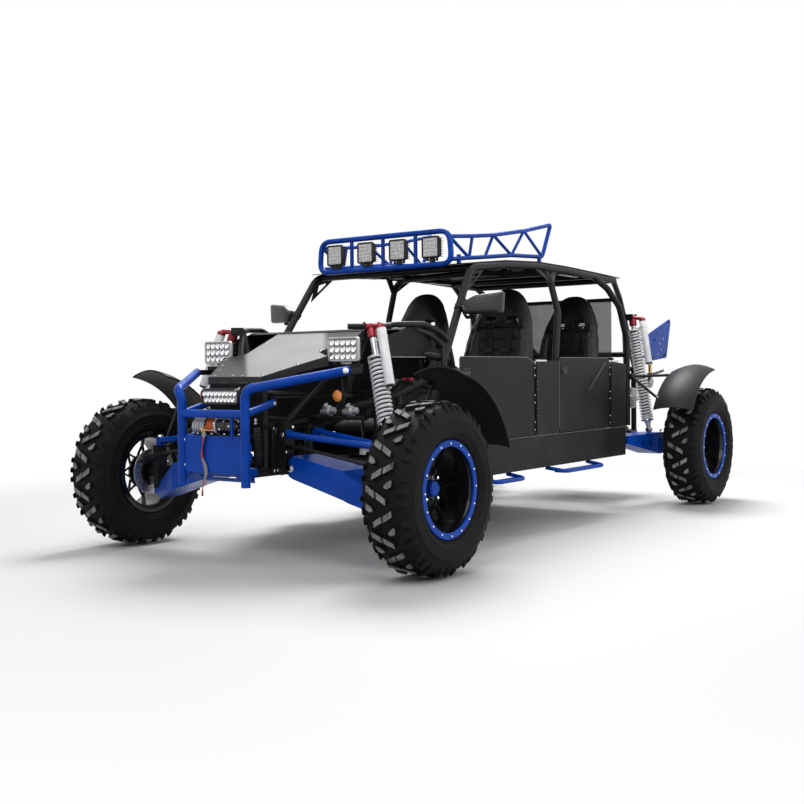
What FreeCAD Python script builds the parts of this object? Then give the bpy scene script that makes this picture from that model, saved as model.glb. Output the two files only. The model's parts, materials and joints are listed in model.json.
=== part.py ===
"""Four-seat dune buggy: a tube-framed sand rail with a blue front guard,
roof rack, beadlock wheels, long-travel arms and four rear-hinged half doors.

Millimetres.  +Z is up, the front points to -Y and the vehicle's left side is +X.
The origin lies on the ground in the middle of the overall box.
Left-hand pieces are modelled and mirrored in the plane X = 0.
"""
import FreeCAD
import Part
import math
import os
from FreeCAD import Rotation, Vector

# Clearances
SEAT = 0.3               # between pieces that rest on each other
RUN = 0.3                # radial play of a wheel on its spindle
SWING = 6.0              # gap round a door leaf

# Overall layout
WHEELBASE = 3160.0
WHEEL_X = 925.0          # middle of each tyre
TYRE_R = 381.0
TYRE_W = 250.0
BEAD_R = 194.0
RIM_W = 190.0
LUG_H = 19.0
PITCHES = 12             # repeats of the tread pattern round a tyre
SPOKES = 8
DISC_R = 118.0
DISC_T = 6.0
DISC_X = -96.0           # inner face of a brake disc, from the wheel's middle
BRAKE_GAP = 5.5          # round a disc, inside its calliper
FRONT_Y = -WHEELBASE / 2
REAR_Y = WHEELBASE / 2
NOSE_Y = -1955.0         # plane of the front guard's uprights
TAIL_Y = 1963.0          # plane of the rear guard

# Tubes
R_MAIN = 21.0
R_CAGE = 20.0
R_BRACE = 13.0
R_GUARD = 21.0
R_RACK = 14.0
BEND = 90.0

# Body sides
SKIN_X = 640.0           # outer face of doors and side sheets
SKIN_T = 3.0
SILL_LOW = 345.0
SILL_TOP = 525.0
DOOR_TOP = 958.0
PANEL_TOP = 940.0
SIDE_FRONT = -905.0
FRAME_SPLIT = -700.0     # where the front frame's rails meet the floor frame's
SIDE_REAR = 1075.0
FRONT_DOOR = (-890.0, -118.0)
REAR_DOOR = (162.0, 842.0)
DOOR_DEPTH = 24.0
HINGE_R = 5.0
RAIL_X = SKIN_X - SKIN_T - 7.0 - R_MAIN
RAIL_Z = SILL_LOW + SKIN_T + SEAT + R_MAIN
SILL_Z = SILL_TOP - SKIN_T - SEAT - R_MAIN
FLOOR_T = 3.0
FLOOR_TOP = RAIL_Z + R_MAIN + SEAT + FLOOR_T

# Front end
BOX_X = 160.0            # front box rails, from the middle
UPRIGHT_Y = -1785.0
ARM_X = 213.0            # inner pivots of the front arms
KING_X = 760.0           # steering axis of a front wheel
KING_TOP = 520.0
KING_LOW = 300.0
STEER_ARM = 110.0
SPINDLE_R = 22.0
RACK_Z = 545.0
GUARD_X = 198.0
COWL_Z = 774.0           # cross tube that carries the steering column
HOOD_Y = -1811.0
HOOD_Z = 867.0           # hood lip at HOOD_Y
HOOD_RISE = 0.343
HOOD_T = 3.0
R_HOOD = 18.0
TOWER_X = 443.0
TOWER_Y = -1349.0
TOWER_Z = 1101.0

# Roof
ROOF_X = 530.0
ROOF_T = 4.0
ROOF_LINE = [(-622.0, 1448.0), (-600.0, 1451.0), (-240.0, 1490.0), (125.0, 1509.0),
             (473.0, 1507.0), (851.0, 1497.0), (1235.0, 1485.0)]

# Rack on the roof
RACK_X = 430.0
RACK_Y = -650.0
RACK_LOW = 1448.0
RACK_TOP = 1621.0
TRUSS_TOP = [(RACK_Y, 1590.0), (-423.0, 1612.0), (-205.0, 1637.0), (139.0, 1693.0), (464.0, 1760.0)]
TRUSS_LOW = [(RACK_Y, 1470.0), (-458.0, 1492.0), (-296.0, 1509.0), (-7.0, 1541.0), (357.0, 1559.0)]

# Engine and drive
GEARBOX_X = 205.0        # half width across the drive flanges
GEARBOX_Z = 525.0
SHAFT_R = 15.0

# Winch hook and the strap that hangs from it
HOOK_TOP = Vector(-46, -1967, 640)
STRAP_R = 5.0
STRAP = [Vector(x, -1968, z) for x, z in ((-46, 601.7), (-52, 566), (-62, 532), (-56, 498), (-38, 466), (-34, 432),
                                          (-48, 398), (-60, 364), (-60, 332))]

# Shock absorbers: upper and lower eye of the left ones
FRONT_EYES = (Vector(TOWER_X, TOWER_Y, TOWER_Z), Vector(652, -1468, 440))
REAR_EYES = (Vector(520, 1440, 1235), Vector(640, REAR_Y - 150, 487.3))
REAR_PIVOT = Vector(470, 1180, 430)
EYE_R = 17.0
EYE_HALF = 29.0
EAR_T = 7.0
TOWER_TURN = -44.0       # swing of a front damper's upper pin, in plan
ARM_TOP = REAR_EYES[1].z - EYE_R - SEAT
COIL_R = 42.0
COIL_PITCH = 23.0
COIL_STEPS = 10          # flat runs in each turn of a coil
WIRE_T = 12.0
DAMPER_R = 24.0
CAN_R = 23.0

NODES = {}


def v(x, y, z):
    return Vector(x, y, z)


def add(name, *shapes):
    """Collect solids for one piece."""
    solids = []
    for shape in shapes:
        for item in (shape if isinstance(shape, (list, tuple)) else [shape]):
            solids.extend(item.Solids)
    NODES.setdefault(name, []).extend(solids)


def fuse(shapes):
    shapes = list(shapes)
    if len(shapes) == 1:
        return shapes[0]
    return shapes[0].multiFuse(shapes[1:]).removeSplitter()


def flip(shape):
    return shape.mirror(v(0, 0, 0), v(1, 0, 0))


def both(shapes):
    shapes = list(shapes) if isinstance(shapes, (list, tuple)) else [shapes]
    return shapes + [flip(shape) for shape in shapes]


def box(x0, x1, y0, y1, z0, z1):
    return Part.makeBox(x1 - x0, y1 - y0, z1 - z0, v(x0, y0, z0))


def cyl(start, end, radius):
    return Part.makeCylinder(radius, (end - start).Length, start, end - start)


def arc_at(before, corner, after, bend):
    """Start, middle and end of the arc that rounds a corner."""
    one = before - corner
    two = after - corner
    half = one.getAngle(two) / 2
    reach = min(bend / math.tan(half), 0.48 * one.Length, 0.48 * two.Length)
    one.normalize()
    two.normalize()
    real = reach * math.tan(half)
    middle = corner + (one + two).normalize() * (reach / math.cos(half) - real)
    return corner + one * reach, middle, corner + two * reach


def face(points, bend=0.0):
    """Flat face with the given outline, its corners rounded where a bend is given."""
    if not bend:
        return Part.Face(Part.makePolygon(points + [points[0]]))
    count = len(points)
    arcs = [arc_at(points[k - 1], points[k], points[(k + 1) % count], bend) for k in range(count)]
    edges = []
    for arc, following in zip(arcs, arcs[1:] + arcs[:1]):
        edges.append(Part.Arc(*arc).toShape())
        edges.append(Part.LineSegment(arc[2], following[0]).toShape())
    return Part.Face(Part.Wire(edges))


def prism_x(profile, x0, x1, bend=0.0):
    """Extrude a (y, z) outline from x0 to x1."""
    return face([v(x0, y, z) for y, z in profile], bend).extrude(v(x1 - x0, 0, 0))


def prism_y(profile, y0, y1, bend=0.0):
    """Extrude an (x, z) outline from y0 to y1."""
    return face([v(x, y0, z) for x, z in profile], bend).extrude(v(0, y1 - y0, 0))


def prism_z(profile, z0, z1, bend=0.0):
    """Extrude an (x, y) outline from z0 to z1."""
    return face([v(x, y, z0) for x, y in profile], bend).extrude(v(0, 0, z1 - z0))


def plate_y(x0, x1, z0, z1, y0, y1, bend):
    """Upright plate across the vehicle with rounded corners."""
    return prism_y([(x0, z0), (x1, z0), (x1, z1), (x0, z1)], y0, y1, bend)


def slab(points, thickness, bend=0.0):
    """Flat plate whose given outline lies on one face; it thickens along the outline's normal."""
    normal = v(0, 0, 0)
    for one, two in zip(points, points[1:] + points[:1]):
        normal = normal + (one - points[0]).cross(two - points[0])
    normal.normalize()
    return face(points, bend).extrude(normal * thickness)


def shrink(points, share):
    """The same outline drawn in towards its middle."""
    middle = v(0, 0, 0)
    for point in points:
        middle = middle + point * (1.0 / len(points))
    return [middle + (point - middle) * share for point in points]


def gusset(points, thickness):
    """Corner plate with a hole of its own shape."""
    plate = slab(points, thickness)
    hole = slab(shrink(points, 0.45), 3 * thickness, 4)
    back = (plate.CenterOfMass - hole.CenterOfMass)
    hole.translate(back)
    return plate.cut(hole)


def tube(points, radius, bend=BEND):
    """Round bar along straight runs joined by tangent arcs."""
    if len(points) == 2:
        return cyl(points[0], points[1], radius)
    edges = []
    last = points[0]
    for before, corner, after in zip(points, points[1:], points[2:]):
        arc = arc_at(before, corner, after, bend)
        edges.append(Part.LineSegment(last, arc[0]).toShape())
        edges.append(Part.Arc(*arc).toShape())
        last = arc[2]
    edges.append(Part.LineSegment(last, points[-1]).toShape())
    path = Part.Wire(edges)
    circle = Part.Circle(points[0], points[1] - points[0], radius).toShape()
    return path.makePipe(Part.Face(Part.Wire(circle)))


def solid_from_faces(faces):
    shell = Part.Shell(faces)
    solid = Part.Solid(shell)
    if solid.Volume < 0:
        solid.reverse()
    return solid


def faceted_ring(profile, sides):
    """Turned ring about the X axis with flat facets; the profile is a closed list of (x, r)."""
    step = 2 * math.pi / sides
    rings = []
    for x, r in profile:
        rings.append([v(x, r * math.cos((k + 0.5) * step), r * math.sin((k + 0.5) * step)) for k in range(sides)])
    faces = []
    for one, two in zip(rings, rings[1:] + rings[:1]):
        for k in range(sides):
            j = (k + 1) % sides
            faces.append(face([one[k], one[j], two[j], two[k]]))
    return solid_from_faces(faces)


def turned(profile, start=0.0, sweep=360.0):
    """Solid turned about the X axis from a closed (x, r) outline; angles run from +Z towards +Y."""
    section = face([v(x, 0, r) for x, r in profile])
    section.rotate(v(0, 0, 0), v(1, 0, 0), -start)
    return section.revolve(v(0, 0, 0), v(1, 0, 0), -sweep)


def placed(shape, where, turn=None):
    out = shape.copy()
    out.Placement = FreeCAD.Placement(where, turn if turn else Rotation())
    return out


def roof_z(y):
    """Height of the roof sheet's top face over y."""
    for (y0, z0), (y1, z1) in zip(ROOF_LINE, ROOF_LINE[1:]):
        if y0 <= y <= y1:
            return z0 + (z1 - z0) * (y - y0) / (y1 - y0)
    return ROOF_LINE[-1][1]


def roof_rail(y, x=519.0):
    return v(x, y, roof_z(y) - ROOF_T - SEAT - R_CAGE - 0.4)


# Frame

def hood_z(y):
    """Height of the hood sheet's underside over y."""
    return HOOD_Z + HOOD_RISE * (y - HOOD_Y)


def hood_rail_point(x, y):
    slope = math.atan(HOOD_RISE)
    return v(x, y, hood_z(y) - (R_HOOD + SEAT) / math.cos(slope))


def ears(eye, inner_x, low=20.0, turn=0.0):
    """Pair of plates that hold a damper eye, reaching low below it; turn swings them about it."""
    pair = []
    near = EYE_HALF + SEAT
    for y0 in (eye.y - near - EAR_T, eye.y + near):
        plate = box(inner_x, eye.x + 18, y0, y0 + EAR_T, eye.z - low, eye.z + 20)
        plate.rotate(eye, v(0, 0, 1), turn)
        pair.append(plate)
    return pair


def tower_pin():
    """Direction of a front damper's upper pin."""
    angle = math.radians(TOWER_TURN)
    return v(-math.sin(angle), math.cos(angle), 0)


FLOOR_RAIL = RAIL_Z + R_MAIN - (R_CAGE - 2)


def without_cage(shapes):
    """One frame solid, coped round the cage tubes that run into it."""
    gap = fuse(both([tube(a_line(), R_CAGE + SEAT, 110), tube(rear_hoop(), R_CAGE - 2 + SEAT, 90)]))
    return max(fuse(shapes).cut(gap).Solids, key=lambda piece: piece.Volume)


def cross_tubes(places, radius):
    """Tubes across the vehicle; each place is (y, z, half width)."""
    return [cyl(v(-x, y, z), v(x, y, z), radius) for y, z, x in places]


def chassis_frame():
    """Floor and sill rails with the rear cradle, all tube."""
    tail = TAIL_Y - 75
    left = [
        tube([v(RAIL_X, FRAME_SPLIT, RAIL_Z), v(RAIL_X, 1000, RAIL_Z), v(380, REAR_PIVOT.y, REAR_PIVOT.z),
              v(330, 1330, REAR_PIVOT.z), v(330, TAIL_Y - 60, 440)], R_MAIN, 120),
        cyl(v(370, REAR_PIVOT.y, REAR_PIVOT.z), v(REAR_PIVOT.x - SEAT, REAR_PIVOT.y, REAR_PIVOT.z), 17),
        tube([v(RAIL_X, SIDE_FRONT, SILL_Z), v(RAIL_X, 1010, SILL_Z), v(560, 1265, SILL_Z), v(330, 1330, SILL_Z)],
             R_CAGE),
        cyl(v(RAIL_X, -660, RAIL_Z), v(RAIL_X, -660, SILL_Z), R_CAGE - 2),
        cyl(v(RAIL_X, 960, RAIL_Z), v(RAIL_X, 960, SILL_Z), R_CAGE - 2),
        cyl(v(330, 1330, 430), v(330, 1330, 905), R_CAGE - 1),
        cyl(v(330, tail, 440), v(330, tail, 905), R_CAGE - 1),
    ]
    places = [(200, FLOOR_RAIL, RAIL_X), (915, FLOOR_RAIL, RAIL_X), (1330, 430, 330), (1330, 890, 330),
              (tail, 445, 330), (tail, 890, 330)]
    add("chassis_frame", without_cage(both(left) + cross_tubes(places, R_CAGE - 2)))


def tower():
    """Shock tower: braces to an apex, the turned ears, the long pin and the brace over the cowl."""
    eye = FRONT_EYES[0]
    pin = tower_pin()
    apex = eye + v(-pin.y, pin.x, 0) * 42
    face_off = EYE_HALF + SEAT + EAR_T - 1
    parts = [
        cyl(v(BOX_X, -1640, 650), apex, R_BRACE + 3),
        cyl(v(255, -1370, 700), apex, R_BRACE + 3),
        cyl(apex - pin * (EYE_HALF + 8), apex + pin * (EYE_HALF + 8), R_BRACE + 2),
        cyl(eye + pin * face_off, eye + pin * 95, R_BRACE + 1),
        cyl(eye - pin * face_off, eye - pin * 112, R_BRACE + 1),
        tube([apex, v(505, -1190, 1114), v(535, -1045, 1118), v(556, -925, 1078), v(568, -860, 1020)], R_BRACE + 1, 120),
    ]
    return parts + ears(eye, eye.x - 46, 20.0, TOWER_TURN)


def arm_brackets():
    """Pivot brackets of the front arms on the front box."""
    out = []
    for y in (-1690, -1490):
        out.append(box(BOX_X + 10, ARM_X - SEAT, y, y + 20, 418, 475))
    for y in (-1715, -1485):
        out.append(box(BOX_X + 5, ARM_X + 2 - 20 - SEAT, y, y + 30, 592, 626))
    return out


def front_frame():
    """Front box, shock towers and the rails that run back to the floor frame."""
    left = [
        tube([v(BOX_X, -1890, 440), v(BOX_X, -1400, 440), v(470, -1120, RAIL_Z), v(RAIL_X, -860, RAIL_Z),
              v(RAIL_X, FRAME_SPLIT, RAIL_Z)], R_MAIN, 120),
        tube([v(BOX_X, -1800, 640), v(BOX_X, -1500, 660), v(430, -1120, COWL_Z), v(575, -900, 905)], R_CAGE, 80),
        cyl(v(BOX_X, UPRIGHT_Y, 440), v(BOX_X, UPRIGHT_Y, 835), R_CAGE - 1),
        cyl(v(BOX_X, -1480, 440), v(BOX_X, -1480, 665), R_CAGE - 1),
        cyl(v(470, -1120, RAIL_Z), v(430, -1120, COWL_Z), R_CAGE - 1),
        tube(hood_rail(), R_HOOD, 60),
        box(200, 489, -1500, -1475, 893, 923),
        box(200, 225, -1500, -1475, 893, 958),
        box(465, 489, -1583.7, -1480, 880, 906),
        box(BOX_X - 10, GUARD_X + 18, -1772, -1762, 735, 785),
    ]
    left.extend(tower() + arm_brackets())
    places = [(-1870, 440, BOX_X), (-1480, 440, BOX_X), (UPRIGHT_Y, 835, BOX_X), (-1480, 655, BOX_X),
              (-1120, FLOOR_RAIL, 470), (-1120, COWL_Z, 430), (-1160, hood_rail()[2].z - 2, 285)]
    rack_y = FRONT_Y - STEER_ARM - 38.3
    across = cross_tubes(places, R_CAGE - 2) + cross_tubes([(rack_y, RACK_Z, BOX_X)], 16)
    for x in (-BOX_X, BOX_X):
        across.append(cyl(v(x, rack_y, RACK_Z), v(x, rack_y, 445), 14))
    bulkhead = plate_y(-235, 235, 440 - R_MAIN, 662, -1732, -1728, 24)
    bulkhead = bulkhead.cut(plate_y(-110, 110, 470, 520, -1740, -1720, 20))
    add("front_frame", without_cage(both(left) + across + [bulkhead]))


def hood_rail():
    """Path of the tube under a side of the hood."""
    return [hood_rail_point(BOX_X - 17, -1800), hood_rail_point(225, -1470), hood_rail_point(285, -1160),
            v(440, -1060, 985), v(575, -880, 945)]


def a_line():
    """Path of the long cage tube: foot, A pillar, roof rail, C pillar, rear foot."""
    rail = [roof_rail(y) for y in (-590.0, -240.0, 125.0, 473.0, 851.0)]
    foot = SILL_Z + R_CAGE + SEAT
    return [v(RAIL_X - 4, -880, foot), v(575, -938, 930)] + rail + [
        v(548, 1000, 1400), v(560, 1150, 1290), v(560, 1262, 1080), v(560, 1265, foot)]


def rear_hoop():
    """Path of the tube from the roof over the damper heads to the tail."""
    return [roof_rail(1150.0), v(480, 1330, 1360), v(462, 1440, 1235), v(345, TAIL_Y - 103, 920)]


def roll_cage():
    """Pillars, roof rails and rear hoops above the floor frame, with their corner plates."""
    foot = SILL_Z + R_CAGE + SEAT
    hoop_z = roof_z(220) - 28
    left = [
        tube(a_line(), R_CAGE, 110),
        tube([v(RAIL_X, 120, foot), v(RAIL_X, 175, 950), v(603, 222, 1220), v(540, 220, hoop_z - 18), v(0, 220, hoop_z)],
             R_CAGE - 1, 100),
        tube(rear_hoop(), R_CAGE - 2, 90),
        cyl(v(560, 1262, 1080), v(470, 1420, 1240), R_BRACE + 2),
        cyl(v(560, 1265, 620), v(466, 1430, 1200), R_BRACE + 2),
        cyl(roof_rail(830.0), roof_rail(1165.0), R_CAGE - 2),
        gusset([roof_rail(-420.0), v(526, -640, 1290), v(521, -600, 1400)], 5),
        gusset([roof_rail(70.0), roof_rail(373.0), v(577, 222, 1370)], 5),
    ]
    left.extend(ears(REAR_EYES[0], 462))
    across = []
    for y in (-560.0, 840.0, 1150.0):
        spot = roof_rail(y)
        across.append(cyl(v(-spot.x, spot.y, spot.z), spot, R_CAGE - 2))
    across.append(cyl(v(-560, 1264, 985), v(560, 1264, 985), R_CAGE - 2))
    rails = both(cyl(v(RAIL_X, SIDE_FRONT, SILL_Z), v(RAIL_X, 1010, SILL_Z), R_CAGE + SEAT))
    add("roll_cage", fuse(both(left) + across).cut(Part.makeCompound(rails)))


def floor_pan():
    """Flat floor sheet on the cabin's lower rails and the skid sheet under the front box."""
    wide = RAIL_X - R_CAGE - 6
    outline = [(wide, -860), (wide, 935), (-wide, 935), (-wide, -860), (-400, -1115), (400, -1115)]
    add("floor_pan", prism_z(outline, FLOOR_TOP - FLOOR_T, FLOOR_TOP))
    under = 440 - R_MAIN - SEAT
    add("floor_pan", box(-BOX_X - 6, BOX_X + 6, -1880, -1480, under - FLOOR_T, under))


def side_panels():
    """Sill channel with the B and C sheets of each side, folded from one sheet."""
    inner = SKIN_X - SKIN_T
    outline = [(SIDE_FRONT, SILL_LOW), (SIDE_REAR - 15, SILL_LOW), (SIDE_REAR, PANEL_TOP - 20),
               (REAR_DOOR[1] + SWING, PANEL_TOP), (REAR_DOOR[1] + SWING, SILL_TOP), (REAR_DOOR[0] - SWING, SILL_TOP),
               (REAR_DOOR[0] - SWING, PANEL_TOP), (FRONT_DOOR[1] + SWING, PANEL_TOP), (FRONT_DOOR[1] + SWING, SILL_TOP),
               (SIDE_FRONT, SILL_TOP)]
    skin = prism_x(outline, inner, SKIN_X)
    low = box(inner - 50, SKIN_X, SIDE_FRONT, SIDE_REAR - 15, SILL_LOW, SILL_LOW + SKIN_T)
    top = []
    for y0, y1 in ((SIDE_FRONT + 60, 95), (200, SIDE_REAR - 16)):
        top.append(box(inner - 30, SKIN_X, y0, y1, SILL_TOP - SKIN_T, SILL_TOP))
    hinges = hinge_half(FRONT_DOOR[1], False) + hinge_half(REAR_DOOR[1], False)
    add("side_panels", both(fuse([skin, low] + top + hinges)))


def nose_panel():
    """Folded sheet that closes the nose under the hood."""
    back = UPRIGHT_Y - (R_CAGE - 1) - SEAT
    add("nose_panel", prism_y([(-165, 620), (165, 620), (165, 832), (-165, 832)], back - SKIN_T, back))


def hood():
    """Hood sheet with its notches for the shock towers and its folded lip and sides."""
    left = [(165, HOOD_Y), (248, -1668), (336, -1540), (300, -1524), (232, -1482), (303, -1156)]
    plan = left + [(-x, y) for x, y in reversed(left)]
    corners = [v(x, y, hood_z(y)) for x, y in plan]
    pieces = [slab(corners, HOOD_T)]
    fold = 32.0
    for one, two in zip(left[:2], left[1:3]):
        top = [v(one[0], one[1], hood_z(one[1]) + 1), v(two[0], two[1], hood_z(two[1]) + 1)]
        side = [top[0], v(top[0].x, top[0].y, top[0].z - fold), v(top[1].x, top[1].y, top[1].z - fold - 12), top[1]]
        pieces.extend(both(slab(side, HOOD_T)))
    lip = [v(-168, HOOD_Y, HOOD_Z - fold), v(168, HOOD_Y, HOOD_Z - fold), v(168, HOOD_Y, HOOD_Z + 1), v(-168, HOOD_Y, HOOD_Z + 1)]
    pieces.append(slab(lip, HOOD_T))
    add("hood", fuse(pieces))


def dash_cowl():
    """Cowl sheets between the hood and the dash, with their side plates coped over the rails."""
    rest = hood_z(-1180) + HOOD_T / math.cos(math.atan(HOOD_RISE)) + SEAT
    top = prism_x([(-1180, rest), (-1152, rest + 28 * HOOD_RISE), (-1077, 1100), (-985, 1052), (-983, 1055),
                   (-1076, 1103.5), (-1152, rest + 28 * HOOD_RISE + 3), (-1180, rest + 3)], -503, 503)
    dash = prism_x([(-986, 1052), (-960, 850), (-957, 850), (-982, 1053)], -455, 455)
    side = prism_x([(-1300, 955), (-1300, 1058), (-1150, 1095), (-1077, 1101), (-985, 1053), (-880, 992),
                    (-880, 955)], 503, 506)
    lip = box(490, 506, -1300, -880, 955, 958)
    sides = fuse([side, lip]).cut(tube(hood_rail(), R_HOOD + 1, 60))
    add("dash_cowl", fuse([top, dash] + both(sides)))


def roof_panel():
    """Thin roof sheet following the cage."""
    top = ROOF_LINE
    low = [(y, z - ROOF_T) for y, z in reversed(top)]
    sheet = prism_x(top + low, -ROOF_X, ROOF_X)
    add("roof_panel", sheet)


# Front guard, winch and lamps

def front_bumper():
    """Tube guard with its kinked horns, cross tube, folded plate and the skid below it."""
    horn = tube([v(GUARD_X, NOSE_Y, 380), v(GUARD_X, NOSE_Y, 768), v(216, NOSE_Y - 6, 815), v(491, -1564, 897)],
                R_GUARD, 70)
    horn = horn.cut(box(380, 600, -1584, -1500, 800, 1000))
    stay = tube([v(GUARD_X, NOSE_Y, 705), v(GUARD_X, -1740, 757)], 17).cut(box(150, 260, -1772.3, -1700, 650, 850))
    cross = cyl(v(-GUARD_X, NOSE_Y, 705), v(GUARD_X, NOSE_Y, 705), 19)
    plate = prism_y([(-GUARD_X, 450), (-150, 438), (150, 438), (GUARD_X, 450), (GUARD_X, 602), (-GUARD_X, 602)],
                    NOSE_Y - 4, NOSE_Y + 2)
    strut = box(112, 124, NOSE_Y - 6, NOSE_Y + 6, 590, 705)
    foot = both(box(BOX_X - 8, GUARD_X + 8, NOSE_Y, -1890 - SEAT, 428, 462))
    shelf = box(-150, 150, NOSE_Y + 1, -1855, 596, 602)
    skid = prism_x([(NOSE_Y + 1, 446), (NOSE_Y + 1, 440), (-1898, 396), (-1893, 399)], -GUARD_X, GUARD_X)
    slot = prism_z([(-118, -1936), (118, -1936), (104, -1914), (-104, -1914)], 380, 460, 8)
    sides = both(prism_x([(NOSE_Y, 446), (NOSE_Y, 436), (-1895, 396), (-1893, 430)], GUARD_X - 8, GUARD_X - 3))
    add("front_bumper", fuse(both([horn, stay]) + [cross, plate, strut, shelf, skid.cut(slot)] + sides + foot))


def winch():
    """Electric winch behind the guard: finned motor, drum housing, flange, gearbox, rope and hook."""
    y, z = -1903.0, 650.0
    fins = []
    for k in range(5):
        x = -152 + 17 * k
        fins.extend([(x, 30), (x, 42), (x + 9, 42), (x + 9, 30)])
    outline = [(-152, 0)] + fins + [(-64, 34), (-62, 38), (-16, 38), (-12, 34), (-9, 34), (-9, 43), (1, 43), (1, 36),
                                   (12, 36), (18, 42), (104, 42), (118, 30), (118, 0)]
    body = turned(outline)
    body.translate(v(0, y, z))
    base = box(-148, 148, -1930, -1860, 602 + SEAT, 612)
    feet = [box(x - 6, x + 6, -1925, -1870, 604, 650) for x in (-90, 96)]
    rope = tube([v(-43, y, z), v(-43, y - 50, z - 4), HOOK_TOP], 5, 12)
    add("winch", fuse([body, base, rope] + feet + hook()))


def hook():
    """Thimble and hook that hang over the guard's plate."""
    eye = turned([(-5, 7), (5, 7), (5, 13), (-5, 13)])
    eye.translate(HOOK_TOP + v(0, 0, -9))
    shank = box(HOOK_TOP.x - 4, HOOK_TOP.x + 4, HOOK_TOP.y - 4, HOOK_TOP.y + 4, HOOK_TOP.z - 38, HOOK_TOP.z - 19)
    return [eye, shank]


def lamp_body(x, z, wide, high, y0, depth, bezel, bend):
    """Square lamp: bezel with a sunk lens and a body whose back is finned."""
    half, tall = wide / 2, high / 2
    front = plate_y(x - half, x + half, z - tall, z + tall, y0, y0 + bezel, bend)
    lens = plate_y(x - half + 8, x + half - 8, z - tall + 8, z + tall - 8, y0 - 1, y0 + 4, bend - 5)
    back = [plate_y(x - half + 12, x + half - 12, z - tall + 10, z + tall - 10, y0 + bezel - 1, y0 + depth - 14, 6)]
    count = int(wide / 22)
    for k in range(count):
        at = x + (k - (count - 1) / 2) * (wide - 36) / (count - 1)
        back.append(box(at - 2, at + 2, y0 + depth - 15, y0 + depth, z - tall + 14, z + tall - 14))
    return [front.cut(lens)] + back


def front_lamps():
    """Light bar under the nose and the two head lamps on their brackets."""
    nose = UPRIGHT_Y - (R_CAGE - 1) - 2 * SEAT - SKIN_T
    bar = lamp_body(0, 781, 232, 74, -1914, 62, 18, 14)
    foot = box(-60, 60, -1870, nose, 755, 771)
    add("front_lamps", fuse(bar + [foot]))
    lamp = lamp_body(402, 992, 180, 113, -1518, 46, 17, 14)
    u_low = box(380, 424, -1497, -1479, 923 + SEAT, 929)
    legs = [box(x, x + 5, -1497, -1479, 928, 952) for x in (380, 419)]
    add("front_lamps", both(fuse(lamp + [u_low] + legs)))


def marker_lamps():
    """Amber turn lamps in front and red lamps behind."""
    turn = fuse([cyl(v(427, -1600, 779), v(427, -1560, 779), 28), cyl(v(427, -1561, 779), v(427, -1496, 779), 9),
                 box(418, 436, -1500, -1496, 770, 893 - SEAT)])
    back = TAIL_Y - 75 + R_CAGE - 2 + SEAT
    tail = cyl(v(240, back, 890), v(240, back + 26, 890), 38)
    add("marker_lamps", both([turn, tail]))


def roof_rack():
    """Front lamp hoop with three uprights and the two side trusses."""
    low, top = RACK_LOW, RACK_TOP
    ends = [v(0, RACK_Y, low), v(RACK_X + 14, RACK_Y, low), v(RACK_X, RACK_Y, top), v(0, RACK_Y, top)]
    hoop = tube(ends, R_RACK + 1, 60)
    bars = [cyl(v(x, RACK_Y, low), v(x, RACK_Y, top), R_RACK - 3) for x in (-215, 0, 215)]
    upper = [v(RACK_X, y, z) for y, z in TRUSS_TOP]
    lower = [v(RACK_X, y, z) for y, z in TRUSS_LOW]
    parts = [hoop, tube(upper, R_RACK - 2, 200), tube(lower, R_RACK - 2, 200)]
    for k in range(len(upper)):
        parts.append(cyl(upper[k], lower[k], R_RACK - 5))
        if k:
            parts.append(cyl(upper[k], lower[k - 1], R_RACK - 5))
    for y in (-560.0, 320.0):
        spot = roof_z(y) + SEAT + 1.4
        parts.append(cyl(v(RACK_X, y, spot), v(RACK_X, y, spot + 50), R_RACK - 2))
    add("roof_rack", fuse(both(parts) + bars))


def roof_lamps():
    """Four square lamps between the hoop's uprights."""
    for x in (-322, -108, 108, 322):
        lamp = lamp_body(x, 1539, 108, 115, RACK_Y - 24, 62, 16, 12)
        foot = box(x - 14, x + 14, RACK_Y - 8, RACK_Y + 8, RACK_LOW + R_RACK + 1 + SEAT, 1512)
        add("roof_lamps", fuse(lamp + [foot]))


# Suspension and steering

def front_arms():
    """Boxed lower arms and tubular upper arms."""
    ball = KING_LOW - SEAT
    side = prism_y([(ARM_X, 412), (ARM_X, 480), (240, 505), (530, 448), (690, 345), (KING_X - 30, ball),
                    (KING_X + 22, ball), (KING_X + 22, ball - 26), (690, ball - 44), (530, 318), (240, 398)],
                   -1690, -1470)
    plan = prism_z([(ARM_X - 5, -1690), (560, -1690), (KING_X + 22, -1606), (KING_X + 22, -1554), (560, -1470),
                    (ARM_X - 5, -1470)], 200, 600)
    eye = FRONT_EYES[1]
    lower = fuse([side.common(plan), box(634, 670, eye.y - 37, eye.y + 37, 350, eye.z - EYE_R - SEAT)] + ears(eye, 634))
    tip_z = KING_TOP + SEAT + 20
    front = cyl(v(ARM_X + 2, -1700, 605), v(KING_X - 12, FRONT_Y - 8, tip_z + 4), 15)
    rear = cyl(v(ARM_X + 2, -1470, 605), v(KING_X - 12, FRONT_Y + 8, tip_z + 4), 15)
    sleeve = [cyl(v(ARM_X + 2, y - 25, 605), v(ARM_X + 2, y + 25, 605), 20) for y in (-1700, -1470)]
    tip = cyl(v(KING_X, FRONT_Y, KING_TOP + SEAT), v(KING_X, FRONT_Y, KING_TOP + SEAT + 40), 22)
    upper = fuse([front, rear, tip] + sleeve)
    add("front_arms", both([lower, upper]))


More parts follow.
